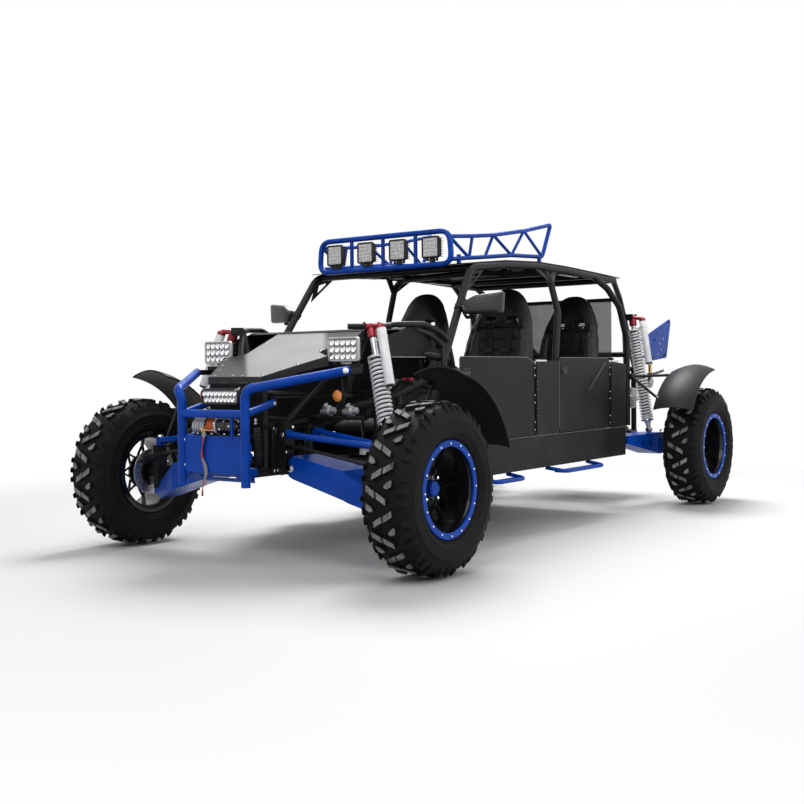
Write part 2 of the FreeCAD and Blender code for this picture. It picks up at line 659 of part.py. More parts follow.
def calliper(y, inner_x):
    """Brake calliper round the disc of the wheel at y, with its bracket from inner_x."""
    face_in = DISC_X - BRAKE_GAP
    face_out = DISC_X + DISC_T + BRAKE_GAP
    clear = DISC_R + BRAKE_GAP
    section = [(face_in - 9, 78), (face_in, 78), (face_in, clear), (face_out, clear), (face_out, 78), (face_out + 10, 78),
               (face_out + 10, clear + 16), (face_in - 9, clear + 16)]
    body = turned(section, 52.0, 56.0)
    body.translate(v(WHEEL_X, y, TYRE_R))
    reach = WHEEL_X + face_in - 1
    return [body, box(inner_x, reach, y + 20, y + 108, TYRE_R - 12, TYRE_R + 26)]


def knuckle(side):
    """Front upright with its spindle, steering arm, calliper and the crowned mudguard on its stays."""
    upright = box(KING_X - 14, KING_X + 22, FRONT_Y - 30, FRONT_Y + 30, KING_LOW, KING_TOP)
    spindle = cyl(v(KING_X + 20, FRONT_Y, TYRE_R), v(WHEEL_X - 12, FRONT_Y, TYRE_R), SPINDLE_R)
    arm = box(KING_X - 10, KING_X + 14, FRONT_Y - STEER_ARM - 16, FRONT_Y, 438, 452)
    guard = mudguard(FRONT_Y, -72.0, -9.0)
    stays = []
    for angle in (-56.0, -26.0):
        a = math.radians(angle)
        rim = v(800, FRONT_Y - 502 * math.sin(a), TYRE_R + 502 * math.cos(a))
        stays.append(cyl(v(KING_X + 5, FRONT_Y + 24, KING_TOP - 16), rim, 8))
    shape = fuse([upright, spindle, arm, guard] + calliper(FRONT_Y, KING_X) + stays)
    add("knuckle_" + side, shape if side == "left" else flip(shape))


def mudguard(centre_y, start, end):
    """Crowned mudguard; angles run from the top of the wheel, negative towards the cabin."""
    sign = 1 if centre_y < 0 else -1
    x0, x1 = 790.0, 1050.0
    outer = [(x0, 500), (x0 + 60, 524), ((x0 + x1) / 2, 535), (x1 - 60, 524), (x1, 500)]
    inner = [(x, r - 4) for x, r in reversed(outer)]
    section = Part.Face(Part.makePolygon([v(x, centre_y, TYRE_R + r) for x, r in outer + inner + outer[:1]]))
    section.rotate(v(0, centre_y, TYRE_R), v(1, 0, 0), sign * end)
    return section.revolve(v(0, centre_y, TYRE_R), v(1, 0, 0), sign * (start - end))


def rear_fenders():
    """Fixed mudguards in front of and over the rear wheels, with their stays."""
    guard = mudguard(REAR_Y, -60.0, -5.0)
    stays = []
    for angle in (50.0, 22.0):
        a = math.radians(angle)
        rim = v(798, REAR_Y - 502 * math.sin(a), TYRE_R + 502 * math.cos(a))
        stays.append(cyl(v(590, 1265, 840), rim, 9))
    add("rear_fenders", both(fuse([guard] + stays + [box(560 + R_CAGE + SEAT, 600, 1250, 1280, 820, 860)])))


def shock(eyes, pin):
    """Damper with its reservoir, its head on the upper pin and its coil."""
    top, low = eyes
    axis = low - top
    length = axis.Length
    axis.normalize()
    across = v(0, EYE_HALF, 0)
    body = fuse([cyl(top + axis * 60, top + axis * (length * 0.45), DAMPER_R),
                 cyl(top + axis * (length * 0.4), low - axis * 16, 10),
                 cyl(low - across, low + across, EYE_R),
                 cyl(top + axis * 85, top + axis * (95 - SEAT), COIL_R),
                 cyl(low - axis * 70, low - axis * 60, COIL_R)])
    side = v(1, 0, 0) - axis * axis.x
    side = side.normalize() * (COIL_R + CAN_R + 4)
    can = cyl(top + side + axis * 25, top + side + axis * 310, CAN_R)
    link = cyl(top + axis * 75, top + side + axis * 75, 9)
    head = fuse([cyl(top - pin * EYE_HALF, top + pin * EYE_HALF, EYE_R), cyl(top, top + axis * (60 - SEAT), DAMPER_R + 1)])
    coil = coil_spring(top + axis * 95, low - axis * (70 + SEAT))
    return head, fuse([body, can, link]), coil


def coil_spring(start, end):
    """Wire coiled between two seats, with flat facets."""
    length = (end - start).Length
    steps = COIL_STEPS * round(length / COIL_PITCH)
    rise = (length - WIRE_T) / steps
    half = WIRE_T / 2
    rings = []
    for k in range(steps + 1):
        out = v(math.cos(2 * math.pi * k / COIL_STEPS), math.sin(2 * math.pi * k / COIL_STEPS), 0)
        middle = out * (COIL_R - half) + v(0, 0, half + rise * k)
        rings.append([middle + out * a + v(0, 0, b) for a, b in ((-half, -half), (half, -half), (half, half), (-half, half))])
    faces = [face(rings[0]), face(rings[-1])]
    for one, two in zip(rings, rings[1:]):
        for k in range(4):
            j = (k + 1) % 4
            faces.append(face([one[k], one[j], two[j]]))
            faces.append(face([one[k], two[j], two[k]]))
    return placed(solid_from_faces(faces), start, Rotation(v(0, 0, 1), end - start))


def shocks():
    for eyes, pin in ((FRONT_EYES, tower_pin()), (REAR_EYES, v(0, 1, 0))):
        head, body, coil = shock(eyes, pin)
        add("damper_heads", both(head))
        add("dampers", both(body))
        add("coil_springs", both(coil))


def rear_arms():
    """Boxed trailing arms that carry the rear hubs, bored for the drive shafts."""
    pivot_y = REAR_PIVOT.y
    end = REAR_Y + 60
    side = prism_x([(pivot_y - 20, 405), (pivot_y - 15, 455), (REAR_Y - 180, ARM_TOP), (REAR_Y - 100, ARM_TOP),
                    (end, 430), (end, 330), (REAR_Y - 160, 330)], 480, 720)
    plan = prism_z([(480, pivot_y - 40), (600, pivot_y - 40), (715, REAR_Y - 180), (715, end), (620, end),
                    (560, REAR_Y - 180)], 300, 560)
    holes = [cyl(v(460, REAR_Y + y, z), v(730, REAR_Y + y, z), r) for y, z, r in ((-290, 412, 15), (-235, 404, 18))]
    start, end = shaft_line()
    bore = cyl(start, end + (end - start) * 0.02, SHAFT_R + SWING)
    arm = side.common(plan).cut(Part.makeCompound(holes + [bore]))
    pivot = cyl(REAR_PIVOT, v(600, REAR_PIVOT.y, REAR_PIVOT.z), 23)
    add("rear_arms", both(fuse([arm, pivot])))


def shaft_line():
    """Ends of a drive shaft: the gearbox face and the hub."""
    return v(GEARBOX_X + SEAT, REAR_Y, GEARBOX_Z), v(715 + SEAT, REAR_Y, TYRE_R)


def rear_uprights():
    """Bearing carriers with the stub axles, callipers and drive shafts of the rear wheels."""
    hub = cyl(v(715 + SEAT, REAR_Y, TYRE_R), v(812, REAR_Y, TYRE_R), 48)
    stub = cyl(v(811, REAR_Y, TYRE_R), v(WHEEL_X - 12, REAR_Y, TYRE_R), SPINDLE_R)
    start, end = shaft_line()
    way = (end - start).normalize()
    shaft = cyl(start - way * 30, end + way * 12, SHAFT_R)
    boot = Part.makeCone(42, SHAFT_R, 120, start - way * 30, way)
    joint = fuse([shaft, boot]).cut(box(0, start.x, REAR_Y - 80, REAR_Y + 80, 300, 700))
    add("rear_uprights", both(fuse([hub, stub, joint] + calliper(REAR_Y, 780))))


def steering():
    """Rack with tie rods, housing, column with its assist motor, and the wheel."""
    y = FRONT_Y - STEER_ARM
    bar = cyl(v(-300, y, RACK_Z), v(300, y, RACK_Z), 11)
    rods = both(cyl(v(290, y, RACK_Z), v(KING_X - 6, y, 466), 8))
    eyes = both(cyl(v(KING_X, y, 452 + SEAT), v(KING_X, y, 474), 13))
    add("steering_rack", fuse([bar] + rods + eyes))
    bore = cyl(v(-140, y, RACK_Z), v(140, y, RACK_Z), 11 + SEAT)
    housing = cyl(v(-130, y, RACK_Z), v(130, y, RACK_Z), 22).cut(bore)
    hub = v(290, -700, 950)
    way = v(0, 0.89, 0.456)
    way.normalize()
    low = hub - way * 560
    pinion = v(12, y + 20, RACK_Z + 14)
    column = [cyl(hub - way * 30, low, 16), cyl(low, pinion, 10), cyl(low - way * 34, low + way * 45, 36)]
    motor = [cyl(low - v(150, 0, 0), low, 31)]
    add("steering_column", fuse([housing] + column + motor).cut(bore))
    add("steering_wheel", placed(wheel_ring(), hub, Rotation(v(0, 0, 1), way)))


def wheel_ring():
    """Steering wheel about the Z axis: rim, three spokes and hub."""
    outline = [(13 * math.cos(k * math.pi / 4), 165 + 13 * math.sin(k * math.pi / 4)) for k in range(8)]
    ring = faceted_ring(outline, 24)
    ring.rotate(v(0, 0, 0), v(0, 1, 0), -90)
    spokes = []
    for k in range(3):
        a = math.radians(90 + 120 * k)
        spokes.append(cyl(v(0, 0, -12), v(160 * math.cos(a), 160 * math.sin(a), 0), 8))
    return fuse([ring, cyl(v(0, 0, -30 + SEAT), v(0, 0, 6), 30)] + spokes)


# Wheels

def lug(outline, sign, half_width, turn):
    """One lug of the pattern's outer or inner side, standing over the top of the tyre."""
    shape = face([v(sign * x, -half_width, r) for x, r in outline]).extrude(v(0, 2 * half_width, 0))
    middle = (outline[0][0] + outline[-1][0]) / 2
    shape.rotate(v(sign * middle, 0, 0), v(0, 0, 1), turn * sign)
    return shape


def tyre_blank():
    """Tyre with its slanted centre lugs and shoulder lugs; the left one, centred on the axle."""
    half = TYRE_W / 2
    crown = TYRE_R - LUG_H
    rim = RIM_W / 2
    profile = [(-rim, BEAD_R), (-rim, 214), (-half, 275), (-half + 8, crown - 28), (-half + 34, crown), (half - 34, crown),
               (half - 8, crown - 28), (half, 275), (rim, 214), (rim, BEAD_R)]
    top = TYRE_R - 2
    centre = [(-half + 61, crown - 8), (-half + 61, top), (38, top), (38, crown - 8)]
    shoulder = [(half - 39, crown - 14), (half - 39, TYRE_R - 1), (half - 17, TYRE_R - 8), (half - 4, TYRE_R - 70),
                (half - 22, crown - 46)]
    lugs = []
    for k in range(2 * PITCHES):
        sign = 1 if k % 2 else -1
        for shape in (lug(centre, sign, 14, -27), lug(shoulder, sign, 25, 6)):
            shape.rotate(v(0, 0, 0), v(1, 0, 0), 180.0 * k / PITCHES)
            lugs.append(shape)
    return fuse([faceted_ring(profile, 2 * PITCHES)] + lugs)


def rim_blank():
    """Deep rim with its beadlock ring, spokes, hub and brake disc; the left one."""
    seat_r = BEAD_R * math.cos(math.pi / (2 * PITCHES)) - SEAT
    w = RIM_W / 2
    lip = 212
    barrel = turned([(-w - 10, lip), (-w - SEAT, lip), (-w - SEAT, seat_r), (w + SEAT, seat_r), (w + SEAT, lip),
                     (w + 9, lip), (w + 12, lip - 3), (w + 12, lip - 26), (w + 5, lip - 30), (w - 6, seat_r - 14),
                     (-w - 4, seat_r - 14), (-w - 10, seat_r - 9)])
    dish = turned([(-34, seat_r - 13), (-22, seat_r - 13), (-12, 60), (-36, 60)])
    spread = math.pi / SPOKES
    windows = []
    for k in range(SPOKES):
        middle = (2 * k + 1) * spread
        corners = []
        for r, half in ((92, 12), (seat_r - 22, 10)):
            swing = spread - math.asin(half / r)
            corners.append([(r * math.sin(middle + a), r * math.cos(middle + a)) for a in (-swing, swing)])
        outline = [corners[0][0], corners[1][0], corners[1][1], corners[0][1]]
        windows.append(prism_x(outline, -60, 20, 12))
    hub = turned([(-98, 0), (-98, 62), (-38, 62), (-38, 88), (-14, 86), (-10, 70), (-10, 38), (28, 31), (33, 26), (33, 0)])
    disc = Part.makeCylinder(DISC_R, DISC_T, v(DISC_X, 0, 0), v(1, 0, 0))
    whole = fuse([barrel, dish.cut(Part.makeCompound(windows)), hub, disc])
    bore = Part.makeCylinder(SPINDLE_R + RUN, 102, v(-101, 0, 0), v(1, 0, 0))
    return whole.cut(bore)


def wheels():
    tyre = tyre_blank()
    rim = rim_blank()
    for end, y in (("f", FRONT_Y), ("r", REAR_Y)):
        for side, x in (("l", WHEEL_X), ("r", -WHEEL_X)):
            for name, blank in (("tyre", tyre), ("rim", rim)):
                shape = blank if side == "l" else flip(blank)
                shape = shape.copy()
                shape.translate(v(x, y, TYRE_R))
                add(name + "_" + end + side, shape)


# Doors

def hinge_half(door_end, moving):
    """Barrels and leaves of one half of a piano hinge behind a door's rear edge."""
    axis_y = door_end + SWING / 2
    low = SILL_TOP + SWING + 12
    count = 5
    step = (PANEL_TOP - 24 - low) / count
    out = []
    for k in range(count):
        if (k % 2 == 0) != moving:
            continue
        z0 = low + step * k + SEAT
        z1 = low + step * (k + 1) - SEAT
        out.append(cyl(v(SKIN_X + HINGE_R, axis_y, z0), v(SKIN_X + HINGE_R, axis_y, z1), HINGE_R))
        span = (axis_y - 24, axis_y) if moving else (axis_y, axis_y + 24)
        out.append(box(SKIN_X, SKIN_X + 2, span[0], span[1], z0, z1))
    return out


def door(name, span, chamfer):
    """Half door: skin with a folded edge on the inside and its hinge barrel at the rear."""
    y0, y1 = span
    low = SILL_TOP + SWING
    outline = [(y0, low), (y1, low), (y1, DOOR_TOP - 28), (y1 - chamfer, DOOR_TOP), (y0, DOOR_TOP)]
    skin = prism_x(outline, SKIN_X - SKIN_T, SKIN_X, 18)
    near, far, top = y0 + 58, y1 - 22, DOOR_TOP - 45
    pan = [(near, low + 12), (far, low + 12), (far, top), (near, top)]
    hole = [(near + 25, low + 37), (far - 25, low + 37), (far - 25, top - 25), (near + 25, top - 25)]
    frame = prism_x(pan, SKIN_X - DOOR_DEPTH, SKIN_X - SKIN_T).cut(prism_x(hole, 0, SKIN_X - SKIN_T, 16))
    leaf = fuse([skin, frame] + hinge_half(y1, True))
    add("door_" + name + "_left", leaf)
    add("door_" + name + "_right", flip(leaf))


def doors():
    door("front", FRONT_DOOR, 95.0)
    door("rear", REAR_DOOR, 42.0)


# Cabin and rear

def seat(x, y):
    """Bucket seat on its base with two harness slots; x and y give the middle of the cushion's front edge."""
    side = [(0, 520), (-6, 590), (60, 622), (400, 575), (470, 650), (600, 1160), (636, 1340), (676, 1375), (724, 1340),
            (690, 1140), (550, 560), (500, 490), (430, 470)]
    body = prism_x([(y + a, b) for a, b in side], x - 235, x + 235, 36)
    front = [(x - 225, 400), (x - 235, 700), (x - 232, 1120), (x - 190, 1225), (x - 128, 1290), (x - 110, 1362),
             (x - 40, 1384), (x + 40, 1384), (x + 110, 1362), (x + 128, 1290), (x + 190, 1225), (x + 232, 1120),
             (x + 235, 700), (x + 225, 400)]
    slots = [plate_y(at - 34, at + 34, 1196, 1226, y + 400, y + 800, 12) for at in (x - 72, x + 72)]
    shell = body.common(prism_y(front, y - 20, y + 800, 30)).cut(Part.makeCompound(slots))
    base = box(x - 170, x + 170, y + 60, y + 400, FLOOR_TOP + SEAT, 560)
    return fuse([shell, base])


def seats():
    for x in (-290, 290):
        add("seats", seat(x, -500.0), seat(x, 360.0))


def side_steps():
    """Tube loops with a tread plate under the sills."""
    for y0, y1 in ((-675, -365), (70, 586)):
        loop = tube([v(600, y0, SILL_LOW - SEAT - 11), v(720, y0 + 20, 317), v(720, y1 - 20, 317), v(600, y1, SILL_LOW - SEAT - 11)],
                    11, 40)
        plate = box(640, 715, y0 + 60, y1 - 60, 312, 318)
        add("side_steps", both(fuse([loop, plate])))


def rear_fins():
    """Blue tail plates above the engine, on a stay from the rear hoops."""
    outline = [(1475, 1105), (1924, 1244), (1841, 965), (1577, 943)]
    plate = prism_x(outline, 592, 597, 22)
    holes = [cyl(v(580, y, z), v(610, y, z), 9) for y, z in ((1790, 1100), (1730, 1065), (1760, 1020), (1700, 990))]
    stays = [cyl(v(380, y, z), v(593, y, z), 9) for y, z in ((1640, 1085), (1790, 975))]
    hoop = tube(rear_hoop(), R_CAGE - 2 + SEAT, 90)
    fin = fuse([plate.cut(Part.makeCompound(holes))] + stays).cut(hoop)
    add("rear_fins", both(max(fin.Solids, key=lambda piece: piece.Volume)))


def engine_block():
    """Open engine behind the seats: crankcase, two banks, intake, gearbox, silencer and cross mounts."""
    case = prism_y([(-130, 470), (130, 470), (170, 560), (170, 640), (60, 700), (-60, 700), (-170, 640), (-170, 560)],
                   1395, 1690)
    parts = [case]
    for sign in (-1, 1):
        bank = prism_y([(-62, 0), (62, 0), (62, 150), (46, 190), (-46, 190), (-62, 150)], 1410, 1675, 10)
        bank.rotate(v(0, 0, 0), v(0, 1, 0), 38 * sign)
        bank.translate(v(72 * sign, 0, 610))
        parts.append(bank)
        pipe = [v(140 * sign, 1535, 622), v(262 * sign, 1560, 590), v(262 * sign, 1780, 600), v(200 * sign, 1850, 670)]
        parts.append(tube(pipe, 21, 50))
    parts.append(cyl(v(0, 1420, 840), v(0, 1660, 840), 62))
    parts.append(cyl(v(0, 1540, 700), v(0, 1540, 800), 40))
    parts.append(prism_z([(-150, 1680), (150, 1680), (95, 1800), (-95, 1800)], 470, 650))
    parts.append(plate_y(-GEARBOX_X, GEARBOX_X, GEARBOX_Z - 60, GEARBOX_Z + 60, REAR_Y - 70, REAR_Y + 110, 30))
    for x in (-90, 90):
        parts.append(cyl(v(x, 1370, 560), v(x, 1400, 560), 52))
    parts.append(cyl(v(-235, 1850, 690), v(235, 1850, 690), 58))
    inner = 330 - R_MAIN - SEAT
    for y in (1420, 1740):
        parts.append(box(-inner, inner, y, y + 40, 425, 475))
    add("engine_block", fuse(parts))


def mirrors():
    """Mirror heads on short arms clamped to the A pillars."""
    outline = [(600, 1183), (786, 1187), (792, 1268), (606, 1278)]
    head = prism_y(outline, -735, -690, 20)
    arm = cyl(v(541 + R_CAGE + 1.9, -729, 1230), v(605, -729, 1230), 9)
    add("mirrors", both(fuse([head, arm])))


def winch_strap():
    """Limp webbing that hangs from the winch hook, as a plain round cord."""
    runs = [(one - two).Length for one, two in zip(STRAP, STRAP[1:])]
    for k, (before, corner, after) in enumerate(zip(STRAP, STRAP[1:], STRAP[2:])):
        half = (before - corner).getAngle(after - corner) / 2
        print("strap bend radius", round(0.45 * min(runs[k], runs[k + 1]) * math.tan(half), 1))
    edges = []
    last = STRAP[0]
    for k, (before, corner, after) in enumerate(zip(STRAP, STRAP[1:], STRAP[2:])):
        half = (before - corner).getAngle(after - corner) / 2
        arc = arc_at(before, corner, after, 0.45 * min(runs[k], runs[k + 1]) * math.tan(half))
        edges.append(Part.LineSegment(last, arc[0]).toShape())
        edges.append(Part.Arc(*arc).toShape())
        last = arc[2]
    edges.append(Part.LineSegment(last, STRAP[-1]).toShape())
    circle = Part.Circle(STRAP[0], STRAP[1] - STRAP[0], STRAP_R).toShape()
    add("winch_strap", Part.Wire(edges).makePipe(Part.Face(Part.Wire(circle))))


def build():
    chassis_frame()
    front_frame()
    roll_cage()
    floor_pan()
    side_panels()
    nose_panel()
    hood()
    dash_cowl()
    roof_panel()
    front_bumper()
    winch()
    winch_strap()
    front_lamps()
    marker_lamps()
    roof_rack()
    roof_lamps()
    front_arms()
    for side in ("left", "right"):
        knuckle(side)
    rear_fenders()
    shocks()
    rear_arms()
    rear_uprights()
    steering()
    wheels()
    doors()
    seats()
    side_steps()
    rear_fins()
    engine_block()
    mirrors()


build()
os.makedirs("parts", exist_ok=True)
for node, solids in NODES.items():
    shape = solids[0] if len(solids) == 1 else Part.makeCompound(solids)
    shape.exportStep("parts/" + node + ".step")
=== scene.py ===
"""Dressing of a four-seat dune buggy for a product picture.

Metres.  +Z is up, the front points to -Y and the vehicle's left side is +X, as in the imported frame.
Left-hand pieces are made first and mirrored in the plane X = 0 where both sides have them.
"""
import json
import math
import bmesh
import bpy
from bpy.props import FloatProperty, FloatVectorProperty, IntProperty, PointerProperty
from mathutils import Matrix, Vector
from mathutils.bvhtree import BVHTree


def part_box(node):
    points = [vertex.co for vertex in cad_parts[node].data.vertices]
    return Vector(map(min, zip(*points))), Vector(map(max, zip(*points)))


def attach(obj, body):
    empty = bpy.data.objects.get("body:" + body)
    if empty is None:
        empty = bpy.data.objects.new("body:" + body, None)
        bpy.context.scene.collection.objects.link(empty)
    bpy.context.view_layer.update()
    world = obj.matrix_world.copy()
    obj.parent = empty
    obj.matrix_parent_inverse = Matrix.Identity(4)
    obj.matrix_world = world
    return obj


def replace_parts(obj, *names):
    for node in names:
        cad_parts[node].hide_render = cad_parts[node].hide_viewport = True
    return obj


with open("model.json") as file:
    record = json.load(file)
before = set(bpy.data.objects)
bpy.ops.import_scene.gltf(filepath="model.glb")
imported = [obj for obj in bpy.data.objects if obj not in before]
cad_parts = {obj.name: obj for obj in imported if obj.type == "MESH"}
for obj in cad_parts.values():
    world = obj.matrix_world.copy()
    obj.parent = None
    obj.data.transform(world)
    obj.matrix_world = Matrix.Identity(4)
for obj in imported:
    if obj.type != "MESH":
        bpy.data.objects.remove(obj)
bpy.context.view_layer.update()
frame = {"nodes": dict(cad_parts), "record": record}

bl_info = {
    "name": "Dune Buggy Dressing",
    "version": (1, 0, 0),
    "blender": (4, 5, 0),
    "location": "3D View > Sidebar > Dune Buggy",
    "description": "Tyres, lamps, seats, springs and finishes of a four-seat dune buggy",
    "category": "Object",
}

MM = 0.001
X, Y, Z = (Vector(axis) for axis in ((1, 0, 0), (0, 1, 0), (0, 0, 1)))
SIDES = (1, -1)
WORDS = ((1, "left"), (-1, "right"))

# Wheel middles in mm: half the wheelbase, half the track and the height of the hubs
AXLE_Y, WHEEL_X, WHEEL_Z = 1580, 925, 381

# Degrees before the top of a rear wheel where the mudguard's stays end
STAY_ANGLES = (50, 22)

WHEELS = {
    "fl": ("wheel_front_left", 1),
    "fr": ("wheel_front_right", -1),
    "rl": ("wheel_rear_left", 1),
    "rr": ("wheel_rear_right", -1),
}


def middle(node):
    """Middle of a node's box."""
    low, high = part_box(node)
    return (low + high) / 2


# Sizes and colours that a user would change

class BuggyPaint(bpy.types.PropertyGroup):
    guard: FloatVectorProperty(name="Guard blue", description="Paint of guard, arms, rack and beadlocks",
                               subtype="COLOR", size=4, default=(0.001, 0.044, 0.31, 1.0))
    frame: FloatVectorProperty(name="Frame black", description="Powder coat of the tube frame",
                               subtype="COLOR", size=4, default=(0.007, 0.007, 0.0075, 1.0))
    sheet: FloatVectorProperty(name="Sheet black", description="Paint of doors and side sheets",
                               subtype="COLOR", size=4, default=(0.0062, 0.0062, 0.0064, 1.0))
    # Hood grey is a painted reflection of the studio on the hood's top, laid over the black sheet
    hood: FloatVectorProperty(name="Hood grey", description="Paint of the hood's top face",
                              subtype="COLOR", size=4, default=(0.22, 0.22, 0.223, 1.0))
    rubber: FloatVectorProperty(name="Rubber", description="Tyre rubber",
                                subtype="COLOR", size=4, default=(0.006, 0.006, 0.0062, 1.0))
    worn: FloatVectorProperty(name="Worn rubber", description="Scrubbed tops of the tread blocks",
                              subtype="COLOR", size=4, default=(0.23, 0.23, 0.23, 1.0))


class BuggySizes(bpy.types.PropertyGroup):
    pitches: IntProperty(name="Tread pitches", description="Repeats of the tread pattern round a tyre",
                         default=12, min=6, max=24)
    ring_bolts: IntProperty(name="Beadlock bolts", description="Bolts in each beadlock ring", default=16, min=8,
                            max=32)
    crown: FloatProperty(name="Crown", description="Radius of the tyre's carcass at its middle",
                         default=0.362, unit="LENGTH")
    lug: FloatProperty(name="Lug height", description="Height of the tread blocks", default=0.0188, unit="LENGTH")
    coil_pitch: FloatProperty(name="Coil pitch", description="Rise of each turn of a coil spring",
                              default=0.0195, unit="LENGTH")
    strap: FloatProperty(name="Strap width", description="Width of the winch strap's webbing", default=0.018,
                         unit="LENGTH")


# Shader building

class Socket:
    """A value running through a finish; arithmetic on it adds Math nodes."""

    def __init__(self, finish, output):
        self.finish = finish
        self.output = output

    def math(self, operation, *values):
        settings = {"operation": operation}
        return self.finish.node("ShaderNodeMath", settings, dict(enumerate(values)))

    def __add__(self, other):
        return self.math("ADD", self, other)

    def __sub__(self, other):
        return self.math("SUBTRACT", self, other)

    def __rsub__(self, other):
        return self.math("SUBTRACT", other, self)

    def __mul__(self, other):
        return self.math("MULTIPLY", self, other)

    def __pow__(self, other):
        return self.math("POWER", self, other)

    __radd__ = __add__
    __rmul__ = __mul__

    def smooth(self, low, high):
        """0 below low, 1 above high, with a soft ramp between."""
        settings = {"interpolation_type": "SMOOTHSTEP"}
        sockets = {"Value": self, "From Min": low, "From Max": high}
        return self.finish.node("ShaderNodeMapRange", settings, sockets)


class Finish:
    """Material whose Principled shader is fed by expressions."""

    def __init__(self, name, color=(0.5, 0.5, 0.5, 1.0), roughness=0.5, metallic=0.0, **fixed):
        self.material = bpy.data.materials.new(name)
        self.material.use_nodes = True
        self.tree = self.material.node_tree
        self.shader = self.tree.nodes["Principled BSDF"]
        self.set(Base_Color=color, Roughness=roughness, Metallic=metallic, **fixed)

    def set(self, **sockets):
        for name, value in sockets.items():
            self.feed(self.shader.inputs[name.replace("_", " ")], value)
        return self

    def feed(self, target, value):
        if isinstance(value, Socket):
            self.tree.links.new(value.output, target)
        else:
            target.default_value = value

    def node(self, kind, settings=(), sockets=(), output=0):
        """Output of a new node; its settings are set before its sockets."""
        made = self.tree.nodes.new(kind)
        for name, value in dict(settings).items():
            setattr(made, name, value)
        for key, value in dict(sockets).items():
            self.feed(made.inputs[key], value)
        return Socket(self, made.outputs[output])

    def place(self):
        """Position in the mesh's own space, the row frame at rest."""
        return self.node("ShaderNodeTexCoord", output="Object")

    def axes(self, vector):
        return [self.node("ShaderNodeSeparateXYZ", (), {0: vector}, output=k) for k in range(3)]

    def noise(self, scale, detail=3.0, roughness=0.5):
        sockets = {"Vector": self.place(), "Scale": scale, "Detail": detail, "Roughness": roughness}
        return self.node("ShaderNodeTexNoise", (), sockets)

    def blend(self, mask, one, two):
        """Colour one where the mask is 0 and two where it is 1; the sockets are the node's colour ones."""
        return self.node("ShaderNodeMix", {"data_type": "RGBA"}, {0: mask, 6: one, 7: two}, output=2)

    def bump(self, height, strength=0.3, distance=0.001):
        sockets = {"Height": height, "Strength": strength, "Distance": distance}
        return self.set(Normal=self.node("ShaderNodeBump", (), sockets))


def shade(color, factor):
    """A colour made darker or lighter by a factor."""
    return tuple(min(1.0, part * factor) for part in color[:3]) + (1.0,)


FINISHES = {}


def finish(name):
    """The finish of that name, made when it is first asked for."""
    if name not in FINISHES:
        FINISHES[name] = MAKERS[name](name)
    return FINISHES[name].material


def gloss_paint(name):
    """Wet-looking blue paint with fine orange peel and a little dust in patches."""
    color = tuple(bpy.context.scene.buggy_paint.guard)
    made = Finish(name, roughness=0.3, Specular_IOR_Level=0.12, Coat_Weight=0.06, Coat_Roughness=0.1)
    patch = made.noise(9.0, 4.0).smooth(0.35, 0.75)
    made.set(Base_Color=made.blend(patch, color, shade(color, 1.3)),
             Roughness=0.26 + 0.14 * made.noise(14.0, 5.0))
    return made.bump(made.noise(900.0, 2.0), 0.12, 0.0004)


def powder_coat(name):
    """Satin black powder coat with a fine grain."""
    color = tuple(bpy.context.scene.buggy_paint.frame)
    made = Finish(name, Specular_IOR_Level=0.2)
    patch = made.noise(6.0, 5.0).smooth(0.4, 0.8)
    made.set(Base_Color=made.blend(patch, color, shade(color, 1.9)),
             Roughness=0.34 + 0.16 * made.noise(30.0, 4.0))
    return made.bump(made.noise(1400.0, 2.0), 0.18, 0.0004)


def sheet_paint(name):
    """Black sheet metal with faint brushing, smears and dust low down."""
    color = tuple(bpy.context.scene.buggy_paint.sheet)
    made = Finish(name, Specular_IOR_Level=0.14)
    smear = made.noise(3.5, 6.0, 0.6).smooth(0.35, 0.8)
    height = made.axes(made.place())[2]
    dust = 1.0 - height.smooth(0.3, 0.75)
    tint = made.blend(smear, color, shade(color, 1.6))
    made.set(Base_Color=made.blend(dust * smear * 0.35, tint, (0.07, 0.068, 0.066, 1.0)),
             Roughness=0.3 + 0.22 * made.noise(11.0, 6.0, 0.7))
    return made.bump(made.noise(600.0, 3.0), 0.08, 0.0005)


# Borders of the hood's grey field, a painted reflection of the studio: each lies where x + slope * y goes from
# low to high, in metres
REAR_REFLECTION_BORDER = (0.816, -0.965, -0.915)
NOSE_REFLECTION_BORDER = (0.965, -1.69, -1.65)


def hood_reflection_paint(name):
    """Black hood with a painted reflection: grey on its top, fading to black at its rear corner, nose corner and
    folded sides.
    """
    paint = bpy.context.scene.buggy_paint
    made = Finish(name, Specular_IOR_Level=0.3, Coat_Weight=0.05, Coat_Roughness=0.2)
    normal = made.node("ShaderNodeNewGeometry", output="True Normal")
    x, y, _ = made.axes(made.place())
    slope, low, high = REAR_REFLECTION_BORDER
    inside_rear_reflection = 1.0 - (x + y * slope).smooth(low, high)
    slope, low, high = NOSE_REFLECTION_BORDER
    far = (x + y * slope).smooth(low, high)
    # painted reflection: grey only where the face points up and lies inside both borders, with random lighter
    # clouds in it
    up = made.axes(normal)[2].smooth(0.55, 0.8) * inside_rear_reflection * far
    cloud = made.noise(4.0, 3.0).smooth(0.2, 0.8)
    grey = made.blend(cloud, tuple(paint.hood), shade(tuple(paint.hood), 1.25))
    made.set(Base_Color=made.blend(up, tuple(paint.sheet), grey), Roughness=0.34 + 0.1 * made.noise(20.0, 4.0))
    return made.bump(made.noise(700.0, 2.0), 0.05, 0.0004)


# Radii between which the tops of the tread blocks turn grey
SCRUBBED = (0.3745, 0.379)


